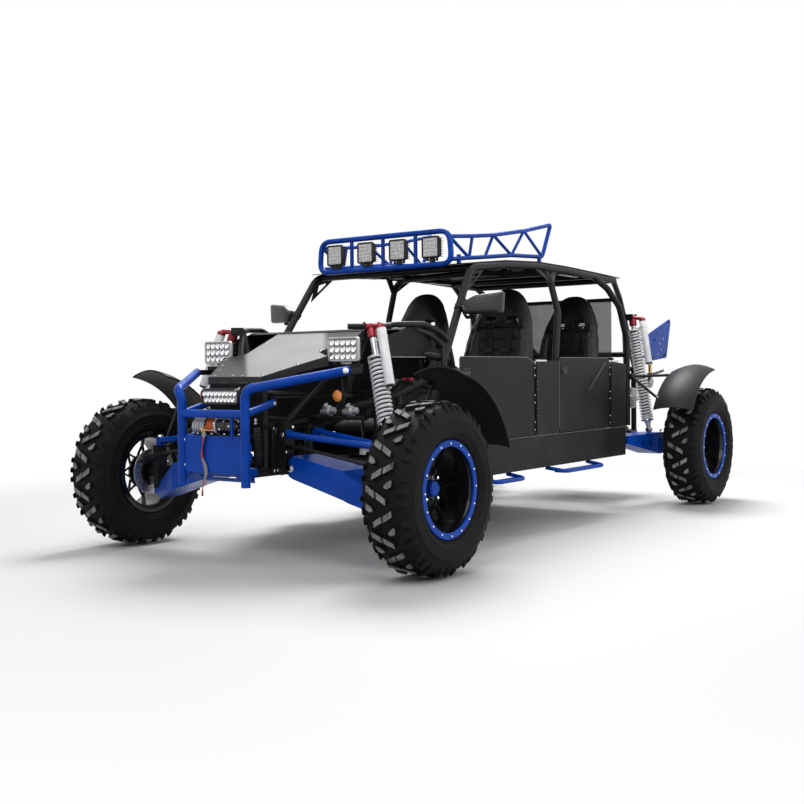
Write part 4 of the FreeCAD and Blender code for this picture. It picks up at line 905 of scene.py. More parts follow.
class BUGGY_OT_dampers(bpy.types.Operator):
    """Coil springs wound smooth, with the dampers, their reservoirs and clamps"""
    bl_idname = "buggy.dampers"
    bl_label = "Springs and dampers"

    EYES = ((at(443, -1349, 1101), at(652, -1468, 440)), (at(520, 1440, 1235), at(640, 1430, 487.3)))
    PINS = (Vector((0.6947, 0.7193, 0)), Y)
    # where the coils start below the top eyes in mm, and how far the reservoirs are turned in degrees
    STARTS, TURNED = (165, 95), (-18, 0)
    # reservoir's distance from the damper, lower seat above the lower eye, wire's radius and coil's radius
    OFFSET, SEAT, WIRE, COIL = 0.069, 0.0703, 0.0066, 0.0353
    # flat end turns, and points along each turn
    FLAT, STEPS = 1.2, 22

    def execute(self, context):
        pitch = context.scene.buggy_sizes.coil_pitch
        coils, dampers = Form("spring_white"), Form("silver")
        heads = Form("red_anodised")
        for (top, low), start, turn, pin in zip(self.EYES, self.STARTS, self.TURNED, self.PINS):
            axis = (low - top).normalized()
            side = Matrix.Rotation(math.radians(turn), 3, "Z") @ (X - axis * axis.x)
            side = (side - axis * side.dot(axis)).normalized()
            self.coil(coils, top + axis * start * MM, low - axis * self.SEAT, pitch)
            self.damper(dampers, top, low, axis, start)
            self.reservoir(dampers, top, axis, side)
            self.head(heads, top, axis, side, pin)
        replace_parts(coils.mirror().done("wound_springs", "chassis"), "coil_springs")
        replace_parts(dampers.mirror().done("damper_bodies", "chassis"), "dampers")
        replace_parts(heads.mirror().done("red_heads", "chassis"), "damper_heads")
        return {"FINISHED"}

    def head(self, form, top, axis, side, pin):
        """Red eye and collar, with the bridge to the reservoir."""
        form.use("red_anodised").lathe(mm([(-29, 14), (-28, 17), (28, 17), (29, 14)]), top, pin, 24)
        form.lathe(mm([(4, 15), (12, 19), (16, 24), (50, 25), (56, 24), (59.3, 20)]), top, axis, 32)
        base = top + side * self.OFFSET
        bridge = [top + axis * 0.006, top + side * 0.034 + axis * 0.012, base + axis * 0.024]
        form.tube(bridge, [0.013, 0.012, 0.014], 14)
        form.lathe(mm([(20, 14), (22, 20), (38, 22.8), (40, 22)]), base, axis, 24)
        form.use("chrome").lathe(mm([(-31, 8), (-30, 12), (30, 12), (31, 8)]), top, pin, 16)
        form.dome(base + axis * 0.02, -axis, 0.005, 0.003)

    def coil(self, form, start, end, pitch):
        """Wire with closed, flat end turns."""
        length = (end - start).length
        free = length - 2 * self.WIRE
        axis = (end - start).normalized()
        side = axis.orthogonal().normalized()
        other = axis.cross(side)
        count = round(free / pitch)
        lift = 2.15 * self.WIRE * self.FLAT
        path = []
        for k in range(self.STEPS * count + 1):
            turn = k / self.STEPS
            if turn < self.FLAT:
                height = lift * turn / self.FLAT
            elif turn > count - self.FLAT:
                height = free - lift * (count - turn) / self.FLAT
            else:
                height = lift + (free - 2 * lift) * (turn - self.FLAT) / (count - 2 * self.FLAT)
            a = 2 * math.pi * turn
            way = side * math.cos(a) + other * math.sin(a)
            path.append(start + axis * (self.WIRE + height) + way * self.COIL)
        form.tube(path, self.WIRE, 8)

    def damper(self, form, top, low, axis, start):
        """Threaded body with its spring seats and lower eye."""
        reach = (low - top).length / MM
        form.use("silver").lathe(mm([(59, 13), (60, 15.5), (start - 8, 15.5)]), top, axis, 32)
        for k in range(int((start - 76) / 4)):
            form.lathe(mm([(64 + 4 * k, 15), (65 + 4 * k, 16.6), (66.4 + 4 * k, 16.6), (67.4 + 4 * k, 15)]), top,
                       axis, 24)
        form.use("spring_white")
        form.lathe(mm([(start - 11.5, 30), (start - 11.5, 39), (start - 10, 42), (start - 1.5, 42),
                       (start - 0.3, 41), (start - 0.3, 25)]), top, axis, 24)
        form.use("rim_black").lathe(mm([(start - 1, 20), (start + 1, 27.4), (reach - 78, 27.4),
                                        (reach - 71, 24)]), top, axis, 32)
        form.use("silver").lathe(mm([(-70, 25), (-70, 41), (-68.5, 42), (-61, 42), (-59.5, 40.5), (-54, 24),
                                     (-36, 17), (-14, 14)]), low, axis, 32)
        form.lathe(mm([(-22, 15.5), (-20.5, 17), (20.5, 17), (22, 15.5)]), low, Y, 24)
        form.use("chrome").lathe(mm([(-29, 11), (-22, 13), (22, 13), (29, 11)]), low, Y, 20)

    def reservoir(self, form, top, axis, side):
        """Bottle with its clamp, and the hose from the damper."""
        base = top + side * self.OFFSET
        form.use("spring_white").lathe(mm([(39, 22), (41, 23), (316, 23), (318, 22)]), base, axis, 32)
        form.lathe(mm([(0, 22.5), (0, 24.4), (12, 24.4), (12, 22.5)]), base + axis * 0.074, axis, 32, wrap=True)
        form.tube([top + axis * 0.08 + side * 0.014, base + axis * 0.08 - side * 0.02], 0.006, 10)
        form.use("rim_black").lathe(mm([(318, 21), (318.4, 22.6), (324, 22.6), (328, 20), (330, 14)]), base, axis,
                                    32)
        form.use("chrome").dome(base + axis * 0.330, axis, 0.006, 0.004)


class BUGGY_OT_winch(bpy.types.Operator):
    """Winch with its finned motor, wound rope, gear housing, thimble and hook"""
    bl_idname = "buggy.winch"
    bl_label = "Winch"

    AXLE = at(0, -1903, 650)
    # the rope's turns on the drum, and points along each
    TURNS, STEPS = 8, 24

    def execute(self, context):
        form = Form("alloy")
        self.motor(form)
        self.drum(form)
        self.gears(form)
        self.mount(form)
        self.hook(form)
        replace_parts(form.done("winch_works", "chassis", "silver"), "winch")
        return {"FINISHED"}

    def motor(self, form):
        form.lathe(mm([(-152, 20), (-151, 25), (-147, 29), (-66, 30)]), self.AXLE, X, 32)
        for k in range(5):
            form.lathe(mm([(0, 28), (0.5, 40), (1.5, 41.5), (6.5, 41.5), (8, 39), (8, 28)]),
                       self.AXLE + at(-146 + 16.5 * k, 0, 0), (1, 0, -0.16), 32, wrap=True)
        form.use("rim_black").lathe(mm([(-156, 11), (-152, 13), (-150, 21)]), self.AXLE, X, 20)

    def drum(self, form):
        form.use("black_paint")
        for x in (-68, -14):
            form.lathe(mm([(0, 20), (0, 41), (1, 42), (3.5, 42), (4.5, 41), (4.5, 20)]), self.AXLE + at(x, 0, 0),
                       X, 40, wrap=True)
        form.use("rope_orange").lathe(mm([(-64, 33), (-14, 33)]), self.AXLE, X, 32)
        count = self.TURNS * self.STEPS
        path = []
        for k in range(count + 1):
            a = 2 * math.pi * k / self.STEPS
            path.append(self.AXLE + at(-61 + 44 * k / count, 36 * math.cos(a), 36 * math.sin(a)))
        form.tube(path, 0.0033, 6)
        form.use("chrome")
        for dy, dz in ((-24, 40), (24, 40), (-42, -20)):
            form.bar(self.AXLE + at(-70, dy, dz), self.AXLE + at(-6, dy, dz), 0.0035)

    def gears(self, form):
        form.use("alloy").lathe(mm([(-9, 30), (-9, 42), (-8, 43), (0, 43), (1, 42), (1, 30)]), self.AXLE, X, 40,
                                 wrap=True)
        form.use("rim_black").lathe(mm([(1, 36), (12, 36), (14, 39), (18, 42), (58, 42), (59, 40), (63, 40),
                                        (64, 42), (104, 42), (110, 40), (118, 30), (119, 12)]), self.AXLE, X, 40)
        form.use("chrome")
        for x, angle in ((24, 55), (52, 30), (28, -20), (90, 45), (90, 0), (90, 90), (-4, 75), (-4, 15),
                         (-4, -40)):
            a = math.radians(angle)
            way = Vector((0, -math.cos(a), math.sin(a)))
            form.nut(self.AXLE + at(x, 0, 0) + way * 0.0415, way, 0.0052, 0.0045)
        for a in turns(6):
            form.nut(self.AXLE + at(117, 24 * math.cos(a), 24 * math.sin(a)), X, 0.0045, 0.004)
        form.use("cast_silver").bar(self.AXLE + at(70, 0, 40), self.AXLE + at(70, 0, 47), 0.012)
        form.block(self.AXLE + at(52, -4, 45), self.AXLE + at(88, 4, 50), 0.0015)

    def mount(self, form):
        form.use("black_paint").block(at(-148, -1930, 602.4), at(148, -1860, 611), 0.0015)
        for x in (-90, 96):
            form.block(at(x - 6, -1925, 606), at(x + 6, -1870, 632), 0.002)
        form.use("chrome")
        for x in (-130, -40, 40, 130):
            form.nut(at(x, -1923, 611), Z, 0.0055, 0.005)

    def hook(self, form):
        rope = [at(-43, -1932, 629), at(-43, -1945, 640), at(-43.5, -1956, 645), at(-45, -1963, 643),
                at(-46, -1967, 637)]
        form.use("rope_orange").tube(rope, 0.0042, 10)
        form.use("brass").lathe(mm([(-5, 7), (-5.5, 12), (-5, 13), (-2.5, 11), (2.5, 11), (5, 13), (5.5, 12),
                                    (5, 7)]), at(-46, -1967, 631), X, 24, wrap=True)
        form.use("hook_grey")
        loop = [at(-46 + 8.5 * math.sin(a), -1967, 611.5 + 9.5 * math.cos(a)) for a in turns(16)]
        form.tube(loop, 0.0028, 8, wrap=True)
        form.tube([at(-46, -1967, 627), at(-46, -1967, 620), at(-46, -1967, 614)], [0.0035, 0.0055, 0.005], 10)


class BUGGY_OT_front_lamps(bpy.types.Operator):
    """Light bar and head lamps with their cells, fins and brackets"""
    bl_idname = "buggy.front_lamps"
    bl_label = "Front lamps"

    def execute(self, context):
        bar = Form("lamp")
        lamp_case(bar, 0, 781, 232, 74, -1914, 62, 18, 14, "lamp", 6)
        for row, z in enumerate((795, 767)):
            for k in range(9 - row):
                cell(bar, -96 + 24 * (k + 0.5 * row), z, -1908, 10.6)
        bar.use("lamp").block(at(-60, -1870, 755), at(60, -1808, 771), 0.002)
        bar.use("chrome")
        for x in (-104, 104):
            bar.nut(at(x, -1890, 818), Z, 0.005, 0.004)
            bar.dome(at(x, -1914, 812), -Y, 0.003, 0.0015, 10)
        heads = Form("bezel_grey")
        lamp_case(heads, 402, 992, 180, 113, -1518, 46, 17, 14, "bezel_grey", 5)
        for row in range(3):
            for k in range(5):
                cell(heads, 338 + 32 * k, 1024 - 32 * row, -1512, 13.8)
        self.bracket(heads)
        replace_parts(bar.done("light_bar", "chassis"), "front_lamps")
        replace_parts(heads.mirror().done("head_lamps", "chassis", "lamp"), "front_lamps")
        return {"FINISHED"}

    def bracket(self, form):
        """Foot and two ears under a head lamp."""
        form.use("silver").block(at(378, -1499, 923.4), at(426, -1478, 927.4), 0.001)
        for x, edge, way in ((378, 377, -1), (422, 427, 1)):
            form.block(at(x, -1499, 925), at(x + 4, -1478, 956), 0.001)
            form.nut(at(edge, -1488, 947), (way, 0, 0), 0.006, 0.005)
        form.nut(at(402, -1488, 927), Z, 0.008, 0.006)


def lamp_case(form, x, z, wide, high, y0, depth, rim, bend, bezel, fins):
    """Bezel with a sunk floor, and the case behind it with its cooling fins."""
    half, tall = wide / 2, high / 2
    form.use(bezel)
    profile = ((9, 7), (8, 1.5), (6.5, 0), (2, 0), (0, 2.5), (0, rim), (3, rim + 2), (12, rim + 3))
    form.skin([rounded(x, z, half - inset, tall - inset, max(2, bend - inset), y0 + y) for inset, y in profile],
              caps=False)
    form.use("reflector").skin([rounded(x, z, half - 8.6, tall - 8.6, 5, y0 + 6.9),
                                rounded(x, z, half - 9.5, tall - 9.5, 5, y0 + 7)])
    form.use("lamp").skin([rounded(x, z, half - 12, tall - 12, 6, y0 + y)
                           for y in (rim + 2, depth - 8, depth - 6)])
    for k in range(fins):
        fin = z + (k - (fins - 1) / 2) * (high - 20) / (fins - 1)
        form.block(at(x - half + 3, y0 + rim + 3, fin - 1.2), at(x + half - 3, y0 + depth, fin + 1.2), 0.0006)


def cell(form, x, z, y, radius):
    """Round reflector bowl with its bright emitter, facing forwards."""
    bowl = [(1, radius * 0.45), (0, radius * 0.55), (-3, radius * 0.86), (-3.8, radius), (-3, radius + 0.6),
            (0, radius + 0.6)]
    glow = [(1.2, radius * 0.5), (-0.5, radius * 0.48), (-1.8, radius * 0.3), (-2.2, radius * 0.05)]
    form.use("chrome").lathe(mm(bowl), at(x, y, z), Y, 16, caps=False)
    form.use("emitter").lathe(mm(glow), at(x, y, z), Y, 10)


class BUGGY_OT_roof_lamps(bpy.types.Operator):
    """Four square lamps on the roof with faceted lenses and finned cases"""
    bl_idname = "buggy.roof_lamps"
    bl_label = "Roof lamps"

    MIDDLES, HEIGHT = (-322, -108, 108, 322), 1539

    def execute(self, context):
        form = Form("lamp")
        for x in self.MIDDLES:
            lamp_case(form, x, self.HEIGHT, 108, 115, -674, 54, 16, 12, "lamp", 9)
            self.lens(form, x, self.HEIGHT, -669, 90, 97, 5)
            form.use("lamp").block(at(x - 15, -658, 1463.4), at(x + 15, -642, 1484), 0.002)
            for side in (-1, 1):
                form.block(at(x + side * 30 - 2, -660, 1470), at(x + side * 30 + 2, -640, 1495), 0.001)
            form.block(at(x - 32, -660, 1468), at(x + 32, -640, 1472), 0.001)
            form.use("chrome").nut(at(x, -650, 1472), Z, 0.007, 0.006)
            form.nut(at(x + 32, -650, 1487), X, 0.005, 0.004)
        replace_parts(form.done("lamp_pods", "chassis", angle=25.0), "roof_lamps")
        return {"FINISHED"}

    def lens(self, form, x, z, y, wide, high, count):
        """Lens moulded in facets with crowned middles."""
        form.use("lens")
        for row in range(count):
            for column in range(count):
                cx = x + wide * ((column + 0.5) / count - 0.5)
                cz = z + high * ((row + 0.5) / count - 0.5)
                rings = []
                for share, rise in ((0.5, 0), (0.44, 1.6), (0.16, 3)):
                    dx, dz = share * wide / count, share * high / count
                    rings.append([at(cx + sx * dx, y - rise, cz + sz * dz)
                                  for sx, sz in ((1, 1), (-1, 1), (-1, -1), (1, -1))])
                form.skin(rings)


class BUGGY_OT_marker_lamps(bpy.types.Operator):
    """Amber turn lamps in front and red lamps behind"""
    bl_idname = "buggy.marker_lamps"
    bl_label = "Turn and tail lamps"

    RINGS = 6

    def execute(self, context):
        form = Form("lamp")
        self.lamp(form, at(427, -1560, 779), -Y, 28, 40, "amber")
        form.use("lamp").bar(at(427, -1562, 779), at(427, -1500, 779), 0.0085, 20)
        form.use("black_paint").block(at(418, -1500.5, 770), at(436, -1495.5, 892.6), 0.001)
        form.nut(at(427, -1495.5, 779), Y, 0.011, 0.007)
        self.lamp(form, at(240, 1906.5, 890), Y, 38, 26, "red_lens")
        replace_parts(form.mirror().done("marker_glass", "chassis"), "marker_lamps")
        return {"FINISHED"}

    def lamp(self, form, base, way, radius, depth, lens):
        """Housing with a ribbed lens whose rings step down to the edge."""
        housing = [(0, radius * 0.5), (2, radius * 0.82), (depth * 0.5, radius * 0.95), (depth * 0.55, radius),
                   (depth * 0.75, radius), (depth * 0.78, radius * 0.93)]
        form.use("lamp").lathe(mm(housing), base, way, 40)
        edge = radius * 0.92
        profile = [(depth * 0.72, edge)]
        for k in range(self.RINGS):
            share = 1 - k / self.RINGS
            r = edge * share
            rise = depth * (0.78 + 0.22 * (1 - share * share))
            profile.extend([(rise, r), (rise + 0.4, max(0.3, r - radius * 0.07))])
        form.use(lens).lathe(mm(profile), base, way, 40)


class BUGGY_OT_seats(bpy.types.Operator):
    """Bucket seats: covers blown up by a cloth simulation, then sewn, on moulded bases"""
    bl_idname = "buggy.seats"
    bl_label = "Seats"

    PLACES = ((-290, -500), (290, -500), (-290, 360), (290, 360))
    # stations of the back: height, front, rear, half width; of the cushion: depth, low, top, half width
    BACK = ((556, 442, 538, 196), (600, 454, 556, 216), (700, 488, 584, 228), (850, 523, 620, 229),
            (984, 556, 650, 220), (1084, 582, 674, 204), (1184, 606, 694, 180), (1254, 621, 706, 152),
            (1304, 634, 714, 128), (1334, 642, 714, 104), (1358, 652, 708, 76), (1371, 664, 700, 48),
            (1376, 676, 690, 18))
    CUSHION = ((2, 550, 580, 198), (16, 532, 602, 218), (60, 516, 614, 228), (200, 504, 596, 230),
               (330, 496, 578, 228), (440, 490, 568, 220), (490, 502, 556, 202))
    # height, half width and half depth of the foot's stations, and spots of the lap belt from the side in
    FOOT = ((399, 150, 150), (399, 168, 168), (404, 172, 172), (412, 166, 166), (520, 176, 172), (538, 186, 184))
    LAP = ((198, 422), (176, 422), (150, 416), (120, 404), (90, 386), (60, 362), (30, 342))
    # middles of the belt slots, and half width and pitch of the sewn channels
    SLOT, CHANNELS, PITCH = 72, 132, 66
    # how far the filling moves a point at most and the time it takes; depth of a seam and of two that cross
    REACH, FRAMES, SEAM, DEEPEST = 0.013, 20, 0.0055, 0.006

    def execute(self, context):
        cover = self.cover()
        self.sew(cover)
        belts, bases = Form("belt"), Form("seat_cover")
        tree = BVHTree.FromPolygons([vert.co for vert in cover.vertices],
                                    [face.vertices for face in cover.polygons])
        for k, (x, y) in enumerate(self.PLACES):
            data = cover.copy()
            data.transform(Matrix.Translation(at(x, y, 0)))
            seat = bpy.data.objects.new(f"seat_cover_{k + 1}", data)
            context.scene.collection.objects.link(seat)
            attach(seat, "chassis")
            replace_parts(seat, "seats")
            self.base(bases, x, y)
            self.belts(belts, tree, x, y)
        bpy.data.meshes.remove(cover)
        bases.done("seat_bases", "chassis")
        belts.done("seat_belts", "chassis", "seat_cover")
        return {"FINISHED"}

    def cover(self):
        """Closed cover of one seat, its front edge in the middle of the row frame."""
        form = Form("seat_cover")
        form.skin([self.back_ring(*station) for station in self.BACK])
        form.skin([self.cushion_ring(*station) for station in self.CUSHION])
        blank = self.loose(form, "seat_blank")
        cutter = Form("seat_cover")
        for x in (-self.SLOT, self.SLOT):
            cutter.skin([rounded(x, 1180, 42, 21, 16, y) for y in (500, 800)])
        knife = self.loose(cutter, "slot_blank")
        slots = blank.modifiers.new("slots", "BOOLEAN")
        slots.operation, slots.solver, slots.use_self, slots.object = "DIFFERENCE", "EXACT", True, knife
        remesh = blank.modifiers.new("voxels", "REMESH")
        remesh.mode, remesh.voxel_size = "VOXEL", 0.0075
        smooth = blank.modifiers.new("smooth", "SMOOTH")
        smooth.iterations = 4
        pad = self.settle(blank)
        bpy.data.objects.remove(knife)
        self.inflate(pad)
        data = pad.data
        bpy.data.objects.remove(pad)
        data.materials.clear()
        data.materials.append(finish("seat_cover"))
        data.shade_smooth()
        return data

    def loose(self, form, name):
        """Object of a form that isn't a piece yet."""
        bmesh.ops.recalc_face_normals(form.mesh, faces=form.mesh.faces)
        return form.placed(name)

    def settle(self, blank):
        """The same object with its modifiers applied."""
        graph = bpy.context.evaluated_depsgraph_get()
        data = bpy.data.meshes.new_from_object(blank.evaluated_get(graph))
        blank.modifiers.clear()
        blank.data = data
        return blank

    def inflate(self, pad):
        """Blow the cover up from within, and cap how far each point moves."""
        scene = bpy.context.scene
        rest = [vert.co.copy() for vert in pad.data.vertices]
        cloth = pad.modifiers.new("stuffing", "CLOTH")
        cloth.settings.quality = 3
        cloth.settings.mass = 0.4
        cloth.settings.use_pressure = True
        cloth.settings.uniform_pressure_force = 4.0
        cloth.settings.effector_weights.gravity = 0.0
        cloth.point_cache.frame_end = self.FRAMES
        for step in range(1, self.FRAMES + 1):
            scene.frame_set(step)
        blown = pad.evaluated_get(bpy.context.evaluated_depsgraph_get()).data
        moves = [new.co - old for new, old in zip(blown.vertices, rest)]
        pad.modifiers.clear()
        scene.frame_set(1)
        for vert, old, move in zip(pad.data.vertices, rest, moves):
            vert.co = old + move * min(1.0, self.REACH / max(move.length, 1e-9))

    def back_ring(self, z, front, rear, half):
        """Level loop round the back, hollow in front between its side bolsters."""
        ring = []
        crown = 1 - ease(z, 1120, 1270)
        for a in turns(40):
            x = half * swell(math.cos(a), 0.5)
            y = (front + rear) / 2 + (rear - front) / 2 * swell(math.sin(a), 0.7)
            if math.sin(a) < 0:
                y += crown * (16 - 34 * ease(abs(x) / half, 0.5, 0.8))
            ring.append(at(x, y, z))
        return ring

    def cushion_ring(self, y, low, top, half):
        """Upright loop round the cushion, with raised bolsters."""
        ring = []
        for a in turns(40):
            x = half * swell(math.cos(a), 0.45)
            z = (low + top) / 2 + (top - low) / 2 * swell(math.sin(a), 0.6)
            if math.sin(a) > 0:
                z += ease(y, 20, 130) * (34 * ease(abs(x) / half, 0.5, 0.8) - 10)
            ring.append(at(x, y, z))
        return ring

    def sew(self, data):
        """Press the seams and the sewn channels into the cover."""
        pressed = []
        for vert in data.vertices:
            x, y, z = (part / MM for part in vert.co)
            depth = 0.0
            along = None
            if vert.normal.y < -0.4 and 590 < z < 1180:
                along = z - 650
            elif vert.normal.z > 0.5 and 20 < y < 420:
                along = y - 30
            if along is not None:
                depth = self.groove(abs(x) - self.CHANNELS)
                if abs(x) < self.CHANNELS:
                    depth += self.groove(along % self.PITCH - self.PITCH / 2)
            pressed.append(vert.co - vert.normal * min(depth, self.DEEPEST))
        for vert, co in zip(data.vertices, pressed):
            vert.co = co

    def groove(self, distance):
        """Depth of a seam at a distance in mm from its middle."""
        return self.SEAM * math.exp(-(distance / 6.5) ** 2)

    def base(self, form, x, y):
        """Moulded foot of a seat on its two bolted rails."""
        form.use("seat_cover")
        form.skin([level(x, y + 232, half, deep, 30, z) for z, half, deep in self.FOOT])
        form.use("silver")
        for side in (-1, 1):
            form.block(at(x + side * 150 - 12, y + 62, 393.9), at(x + side * 150 + 12, y + 400, 399), 0.001)
            for dy in (80, 384):
                form.nut(at(x + side * 150, y + dy, 399), Z, 0.008, 0.006)

    def belts(self, form, tree, x, y):
        """Shoulder and lap belts that lie on the cover, with their buckle."""
        place = at(x, y, 0)
        for side in SIDES:
            line = [at(side * self.SLOT, dy, z) for dy, z in ((700, 1163), (640, 1167), (600, 1166))]
            for k, z in enumerate((1146, 1110, 1060, 1000, 920, 840, 770, 710, 665, 640)):
                line.append(self.lie(tree, at(side * (self.SLOT - 4.5 * k), 200, z), Y))
            for k, dy in enumerate((430, 400, 370, 345)):
                line.append(self.lie(tree, at(side * (29 - 3 * k), dy, 1000), -Z))
            self.ribbon(form.use("belt"), [place + point for point in line], X, 0.046)
            lap = [self.lie(tree, at(side * dx, dy, 1000), -Z) for dx, dy in self.LAP]
            self.ribbon(form, [place + point for point in lap], Vector((0.3 * side, 1, 0)).normalized(), 0.044)
            slide = place + line[6] + Vector((0, -0.004, 0))
            form.use("lamp").block(slide - at(28, 3, 14), slide + at(28, 3, 14), 0.002)
        buckle = place + self.lie(tree, at(0, 335, 1000), -Z)
        form.use("lamp").block(buckle + at(-30, -28, 0), buckle + at(30, 28, 15), 0.005)
        form.use("red_anodised").block(buckle + at(-17, -20, 13), buckle + at(17, 4, 17), 0.0015)

    def lie(self, tree, start, way):
        """Point a little in front of the cover, found along a way."""
        spot = tree.ray_cast(start, Vector(way))[0]
        if spot is None:
            raise RuntimeError("a belt misses its seat")
        return spot - Vector(way) * 0.0035

    def ribbon(self, form, line, across, width):
        """Flat webbing along a line."""
        rings = []
        for k, point in enumerate(line):
            way = (line[min(k + 1, len(line) - 1)] - line[max(k - 1, 0)]).normalized()
            wide = (across - way * across.dot(way)).normalized() * width / 2
            thick = way.cross(wide).normalized() * 0.0012
            rings.append([point + wide * a + thick * b for a, b in BUGGY_OT_strap.SECTION])
        form.skin(rings)


class BUGGY_OT_cockpit(bpy.types.Operator):
    """Steering wheel, gauges, switches, pedals, shifter and grab handles"""
    bl_idname = "buggy.cockpit"
    bl_label = "Cockpit"

    HUB = at(290, -700, 950)
    WAY = Vector((0, 0.89, 0.456)).normalized()
    RADIUS = 0.165
    DASH = Matrix.Translation(at(0, -969.4, 951)) @ Matrix.Rotation(math.radians(7.3), 4, "X")

    def execute(self, context):
        self.wheel()
        form = Form("lamp")
        self.screen(form)
        self.gauges(form)
        self.switches(form)
        self.pedals(form)
        self.shifter(form)
        form.done("cockpit_fittings", "chassis")
        return {"FINISHED"}

    def wheel(self):
        """Three-spoke steering wheel with its boss and pad."""
        form = Form("grip")
        side = X
        up = self.WAY.cross(side)
        rim = [self.HUB + self.RADIUS * (side * math.cos(a) + up * math.sin(a)) for a in turns(72)]
        form.tube(rim, 0.0148, 14, wrap=True)
        form.use("rim_black")
        for a in turns(3, math.radians(90)):
            way = side * math.cos(a) + up * math.sin(a)
            over = self.WAY.cross(way)
            rings = []
            for r, wide, drop in ((0.034, 0.021, -0.004), (0.07, 0.015, -0.003), (0.13, 0.013, 0),
                                  (0.158, 0.017, 0)):
                spot = self.HUB + way * r + self.WAY * drop
                rings.append([spot + over * wide * i + self.WAY * 0.002 * j
                              for i, j in ((-1, -1), (1, -1), (1, 1), (-1, 1))])
            form.skin(rings)
            for r in (0.075, 0.1, 0.125):
                form.lathe(mm([(-0.3, 4), (2.3, 4)]), self.HUB + way * r, self.WAY, 10)
        form.lathe(mm([(-29, 29), (-10, 29.5), (-6, 42), (-1, 43), (2, 41)]), self.HUB, self.WAY, 40)
        form.use("grip").lathe(mm([(1, 33), (7, 32), (12, 27), (14.5, 16), (15, 2)]), self.HUB, self.WAY, 40)
        form.use("chrome")
        for a in turns(6, 0.3):
            way = side * math.cos(a) + up * math.sin(a)
            form.dome(self.HUB + 0.037 * way + self.WAY * 0.0015, self.WAY, 0.0033, 0.0025, 10)
        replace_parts(form.done("steering_wheel_grip", "steering_wheel"), "steering_wheel")

    def screen(self, form):
        """Display in the middle of the dash, with its row of knobs."""
        form.use("lamp").block(at(-112, 1.5, -52), at(112, 16, 64), 0.006, self.DASH)
        form.use("dark_glass").block(at(-98, 15, -38), at(98, 17, 52), 0.001, self.DASH)
        form.use("chrome")
        for x in (-60, -20, 20, 60):
            self.turned(form, mm([(15, 7), (24, 6.4), (25, 5)]), x, -45, 16)

    def turned(self, form, profile, x, z, sides=40):
        """Turn a profile about a line square to the dash."""
        base = self.DASH @ at(x, 0, z)
        form.lathe(profile, base, self.DASH.to_3x3() @ Y, sides)

    def gauges(self, form):
        """Three round gauges with their marks and needles."""
        for x, r in ((226, 42), (330, 52), (424, 34)):
            form.use("chrome")
            self.turned(form, mm([(0, r - 4), (0, r), (14, r), (17, r - 2), (17, r - 6), (12, r - 7)]), x, 30)
            form.use("dark_glass")
            self.turned(form, mm([(9, r - 5), (13, r - 5), (13.6, r - 8)]), x, 30)
            form.use("spring_white")
            for a in turns(12):
                way = Vector((math.cos(a), 0, math.sin(a)))
                start = at(x, 13.7, 30) + way * (r - 15) * MM
                form.bar(self.DASH @ start, self.DASH @ (start + way * 0.006), 0.0008, 6)
            tip = at(x - r * 0.45, 14.6, 30 + r * 0.35)
            form.use("red_anodised").bar(self.DASH @ at(x, 14.6, 30), self.DASH @ tip, 0.0011, 6)

    def switches(self, form):
        """Rocker switches, grab handle, cable and two red caps."""
        form.use("silver").block(at(-352, 1.5, -30), at(-132, 4, 42), 0.001, self.DASH)
        for k in range(6):
            x = -334 + 34 * k
            form.use("lamp").block(at(x, 3, -18), at(x + 22, 9, 30), 0.0015, self.DASH)
            form.use("grip").block(at(x + 3, 8, 4), at(x + 19, 14, 27), 0.002, self.DASH)
        form.use("grip")
        handle = ((-455, 8), (-450, 40), (-430, 52), (-300, 52), (-280, 40), (-275, 8))
        form.tube([self.DASH @ at(x, y, -58) for x, y in handle], 0.011, 12)
        form.tube([at(x, -986, 1056) for x in (-500, 0, 500)], 0.0055, 10)
        form.use("red_anodised")
        for x in (426, 462):
            form.lathe(mm([(0, 13), (1, 15), (14, 15), (16, 12)]), at(x, -1060, 842), Z, 24)
        form.use("lamp").block(at(398, -1076, 822), at(490, -1044, 842), 0.004)

    def pedals(self, form):
        for x in (205, 285, 355):
            form.use("silver").block(at(x - 32, -1104, 470), at(x + 32, -1098, 545), 0.003)
            form.use("rim_black").tube([at(x, -1104, 508), at(x, -1116, 620), at(x, -1122, 745)], 0.007, 10)
        form.bar(at(180, -1122, 745), at(380, -1122, 745), 0.009)

    def shifter(self, form):
        form.use("lamp").skin([level(0, -300, half, deep, 26, z) for z, half, deep in
                               ((394, 62, 108), (398, 62, 108), (470, 50, 92), (486, 40, 80), (490, 34, 72))])
        form.use("grip").lathe(mm([(0, 34), (14, 26), (20, 29), (34, 20), (40, 22), (54, 12)]), at(0, -330, 486),
                               (0, 0.1, 1), 24)
        form.use("chrome").tube([at(0, -328, 520), at(0, -318, 620), at(0, -306, 700)], 0.0065, 14)
        form.use("grip").lathe(mm([(-12, 9), (-4, 17), (12, 21), (28, 17), (36, 5)]), at(0, -305, 704),
                               (0, 0.1, 1), 24)
        form.use("lamp").tube([at(34, -262, 484), at(34, -250, 520), at(34, -120, 560)], 0.012, 12)


